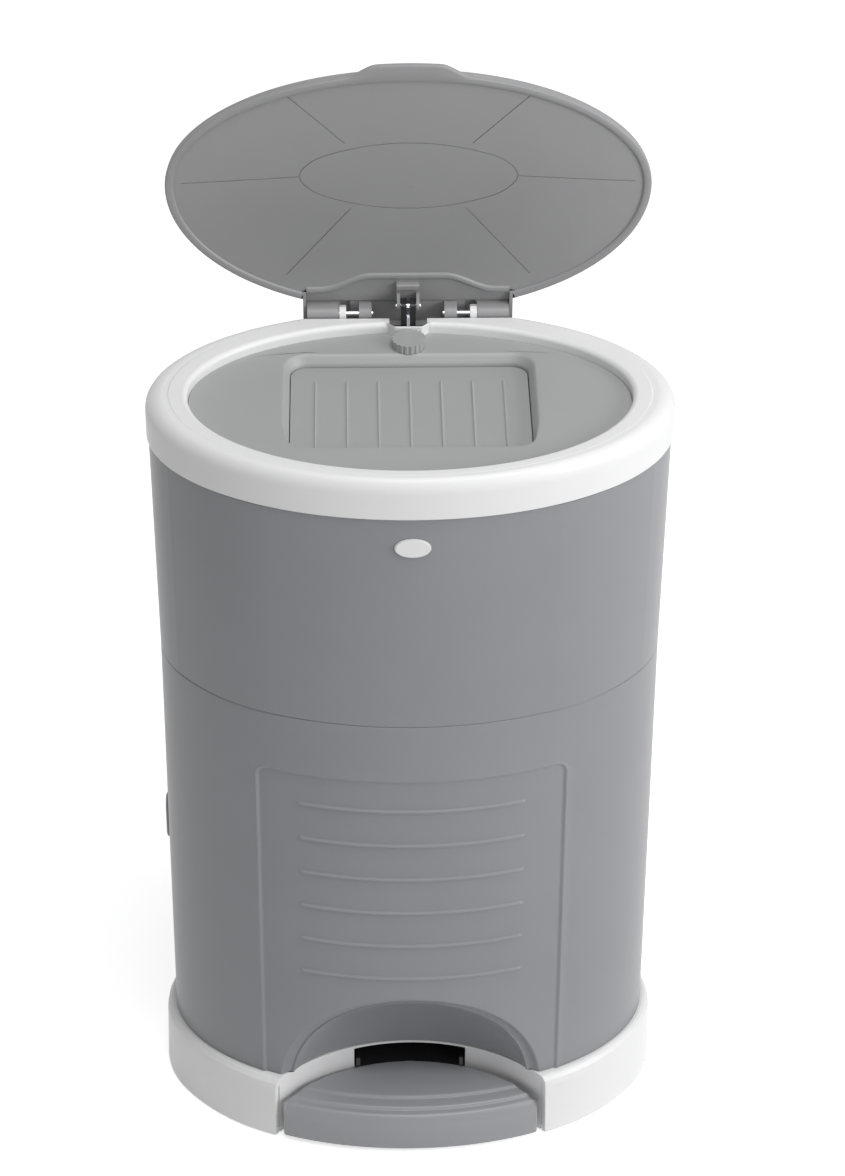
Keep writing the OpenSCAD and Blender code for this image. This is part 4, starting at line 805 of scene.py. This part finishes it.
def plated(name, colour, rough):
    """Metal: noise stretched along the pin varies the roughness as fine drawing marks do."""
    material, place = start_material(name)
    along = place.node("ShaderNodeMapping", Vector=place, Scale=(40.0, 900.0, 900.0))
    marks = along.node("ShaderNodeTexNoise", Vector=along, Scale=1.0, Detail=2.0)
    sheen = rough + 0.12 * marks
    shader = place.node("ShaderNodeBsdfPrincipled", Base_Color=(*colour, 1), Metallic=1.0, Roughness=sheen)
    return end_material(material, shader)


black_nylon = moulded("black_nylon_grain", (0.012, 0.012, 0.014), 0.42, 0.7, 0.02)
bright_steel = plated("drawn_steel", (0.62, 0.63, 0.65), 0.28)
chromed = plated("chromed_steel", (0.78, 0.79, 0.81), 0.12)
crank_y, crank_z, crank_r = 95.5, 622.5, 1.6
slot_top, slot_low = crank_z + 2.2, crank_z - 2.2
fork_line = [(87.3, 598.0, 0.6), (87.3, 627.8, 2.2), (98.6, 627.8, 2.2), (98.6, slot_top, 0.4),
             (88.1, slot_top, 1.6), (88.1, slot_low, 1.6), (98.6, slot_low, 0.4), (98.6, 598.0, 0.6)]
root_line = [(87.4, 598.0, 0.5), (98.5, 598.0, 0.5), (98.5, 612.0, 1.0), (87.4, 612.0, 1.0)]
for side in (-1, 1):
    prong = across_sections(side * np.array([1.3, 1.6, 4.9, 5.2]), lambda x: fork_line)
    stands_for = ["rod_yoke"] if side < 0 else []
    solid(f"fork_prong_{hand(side)}", prong, black_nylon, "black_nylon", "rod", *stands_for)
fork_root = across_sections(np.array([-5.0, 5.0]), lambda x: root_line)
solid("fork_root", fork_root, black_nylon, "black_nylon", "rod")
dress(black_nylon, "pedal_lever", "rod_foot", "knob_cam", "latch_frame", "latch_retainer", "cutter_housing")


def pin_between(x0, x1, y, z, radius):
    """A pin along x whose ends are rounded over by 0.6 mm."""
    x = np.array([x0, x0 + 0.1, x0 + 0.3, x0 + 0.6, x1 - 0.6, x1 - 0.3, x1 - 0.1, x1])
    r = radius - np.array([0.7, 0.35, 0.12, 0, 0, 0.12, 0.35, 0.7])[:, None]
    y, z = y + r * np.cos(turn_round), z + r * np.sin(turn_round)
    return np.stack([np.broadcast_to(x[:, None], y.shape), y, z], -1)


crank = pin_between(-9.2, 9.2, crank_y, crank_z, crank_r)
solid("crank_rod", crank, chromed, "chrome", "lid", "crank_pin")
dress(chromed, "hinge_pins", "lift_rod")
dress(bright_steel, "base_screws", "deck_screws", "shelf_screws", "pedal_screws", "pedal_pin",
      "door_pins", "flap_pin", "cutter_blade")


def coil(x0, x1, y, z, out, wire, turns, legs):
    """A helix (x0 + (x1 - x0) s, y + r cos a, z + r sin a), with a straight leg down and one up."""
    s = np.linspace(0, 1, int(turns * 28))[:, None]
    a = 2 * np.pi * turns * s
    path = np.hstack([x0 + (x1 - x0) * s, y + out * np.cos(a), z + out * np.sin(a)])
    if legs:
        start, end = (np.linspace(reach, 0, 6)[:-1, None] * [0, 0, 1] for reach in legs)
        path = np.vstack([path[:1] + start, path, path[-1:] + end[::-1]])
    return moved_round(path, wire / 2, np.array([1.0, 0, 0]))


pedal_wire = coil(-30.4, -19.6, 0.0, 30.0, 5.1, 1.2, 8, (-22.0, 6.0))
solid("pedal_coil", pedal_wire, bright_steel, "steel", "bin", "pedal_spring")
for side, low in ((-1, -39.6), (1, 24.4)):
    flap_wire = coil(low, low + 15.2, flap_pin_y, flap_pin_z, 2.8, 0.8, 12, (-4.0, 4.0))
    stands_for = ["flap_springs"] if side < 0 else []
    solid(f"flap_coil_{hand(side)}", flap_wire, bright_steel, "steel", "bin", *stands_for)
latch_wire = coil(-163.8, -160.4, latch_y, latch_z, 5.0, 0.8, 3, None)
solid("latch_coil", latch_wire, bright_steel, "steel", "bin", "latch_spring")


# The parts that keep their CAD meshes: the white polypropylene base on its glued rubber feet, the
# small oval plate, and inside the bin the chute and the screwed shelf with the film cassette.
dress(white_shell, "base", "name_plate", "chute", "cassette_shelf")
dress(moulded("foot_rubber", (0.02, 0.02, 0.02), 0.7, 0.6, 0.03), "feet")
dress(moulded("pale_blue_plastic", (0.42, 0.55, 0.62), 0.4, 0.9, 0.01), "bag_cassette")


def corners(box):
    """A box's low and high corners as plain lists of numbers."""
    return [[float(v) for v in corner] for corner in box]
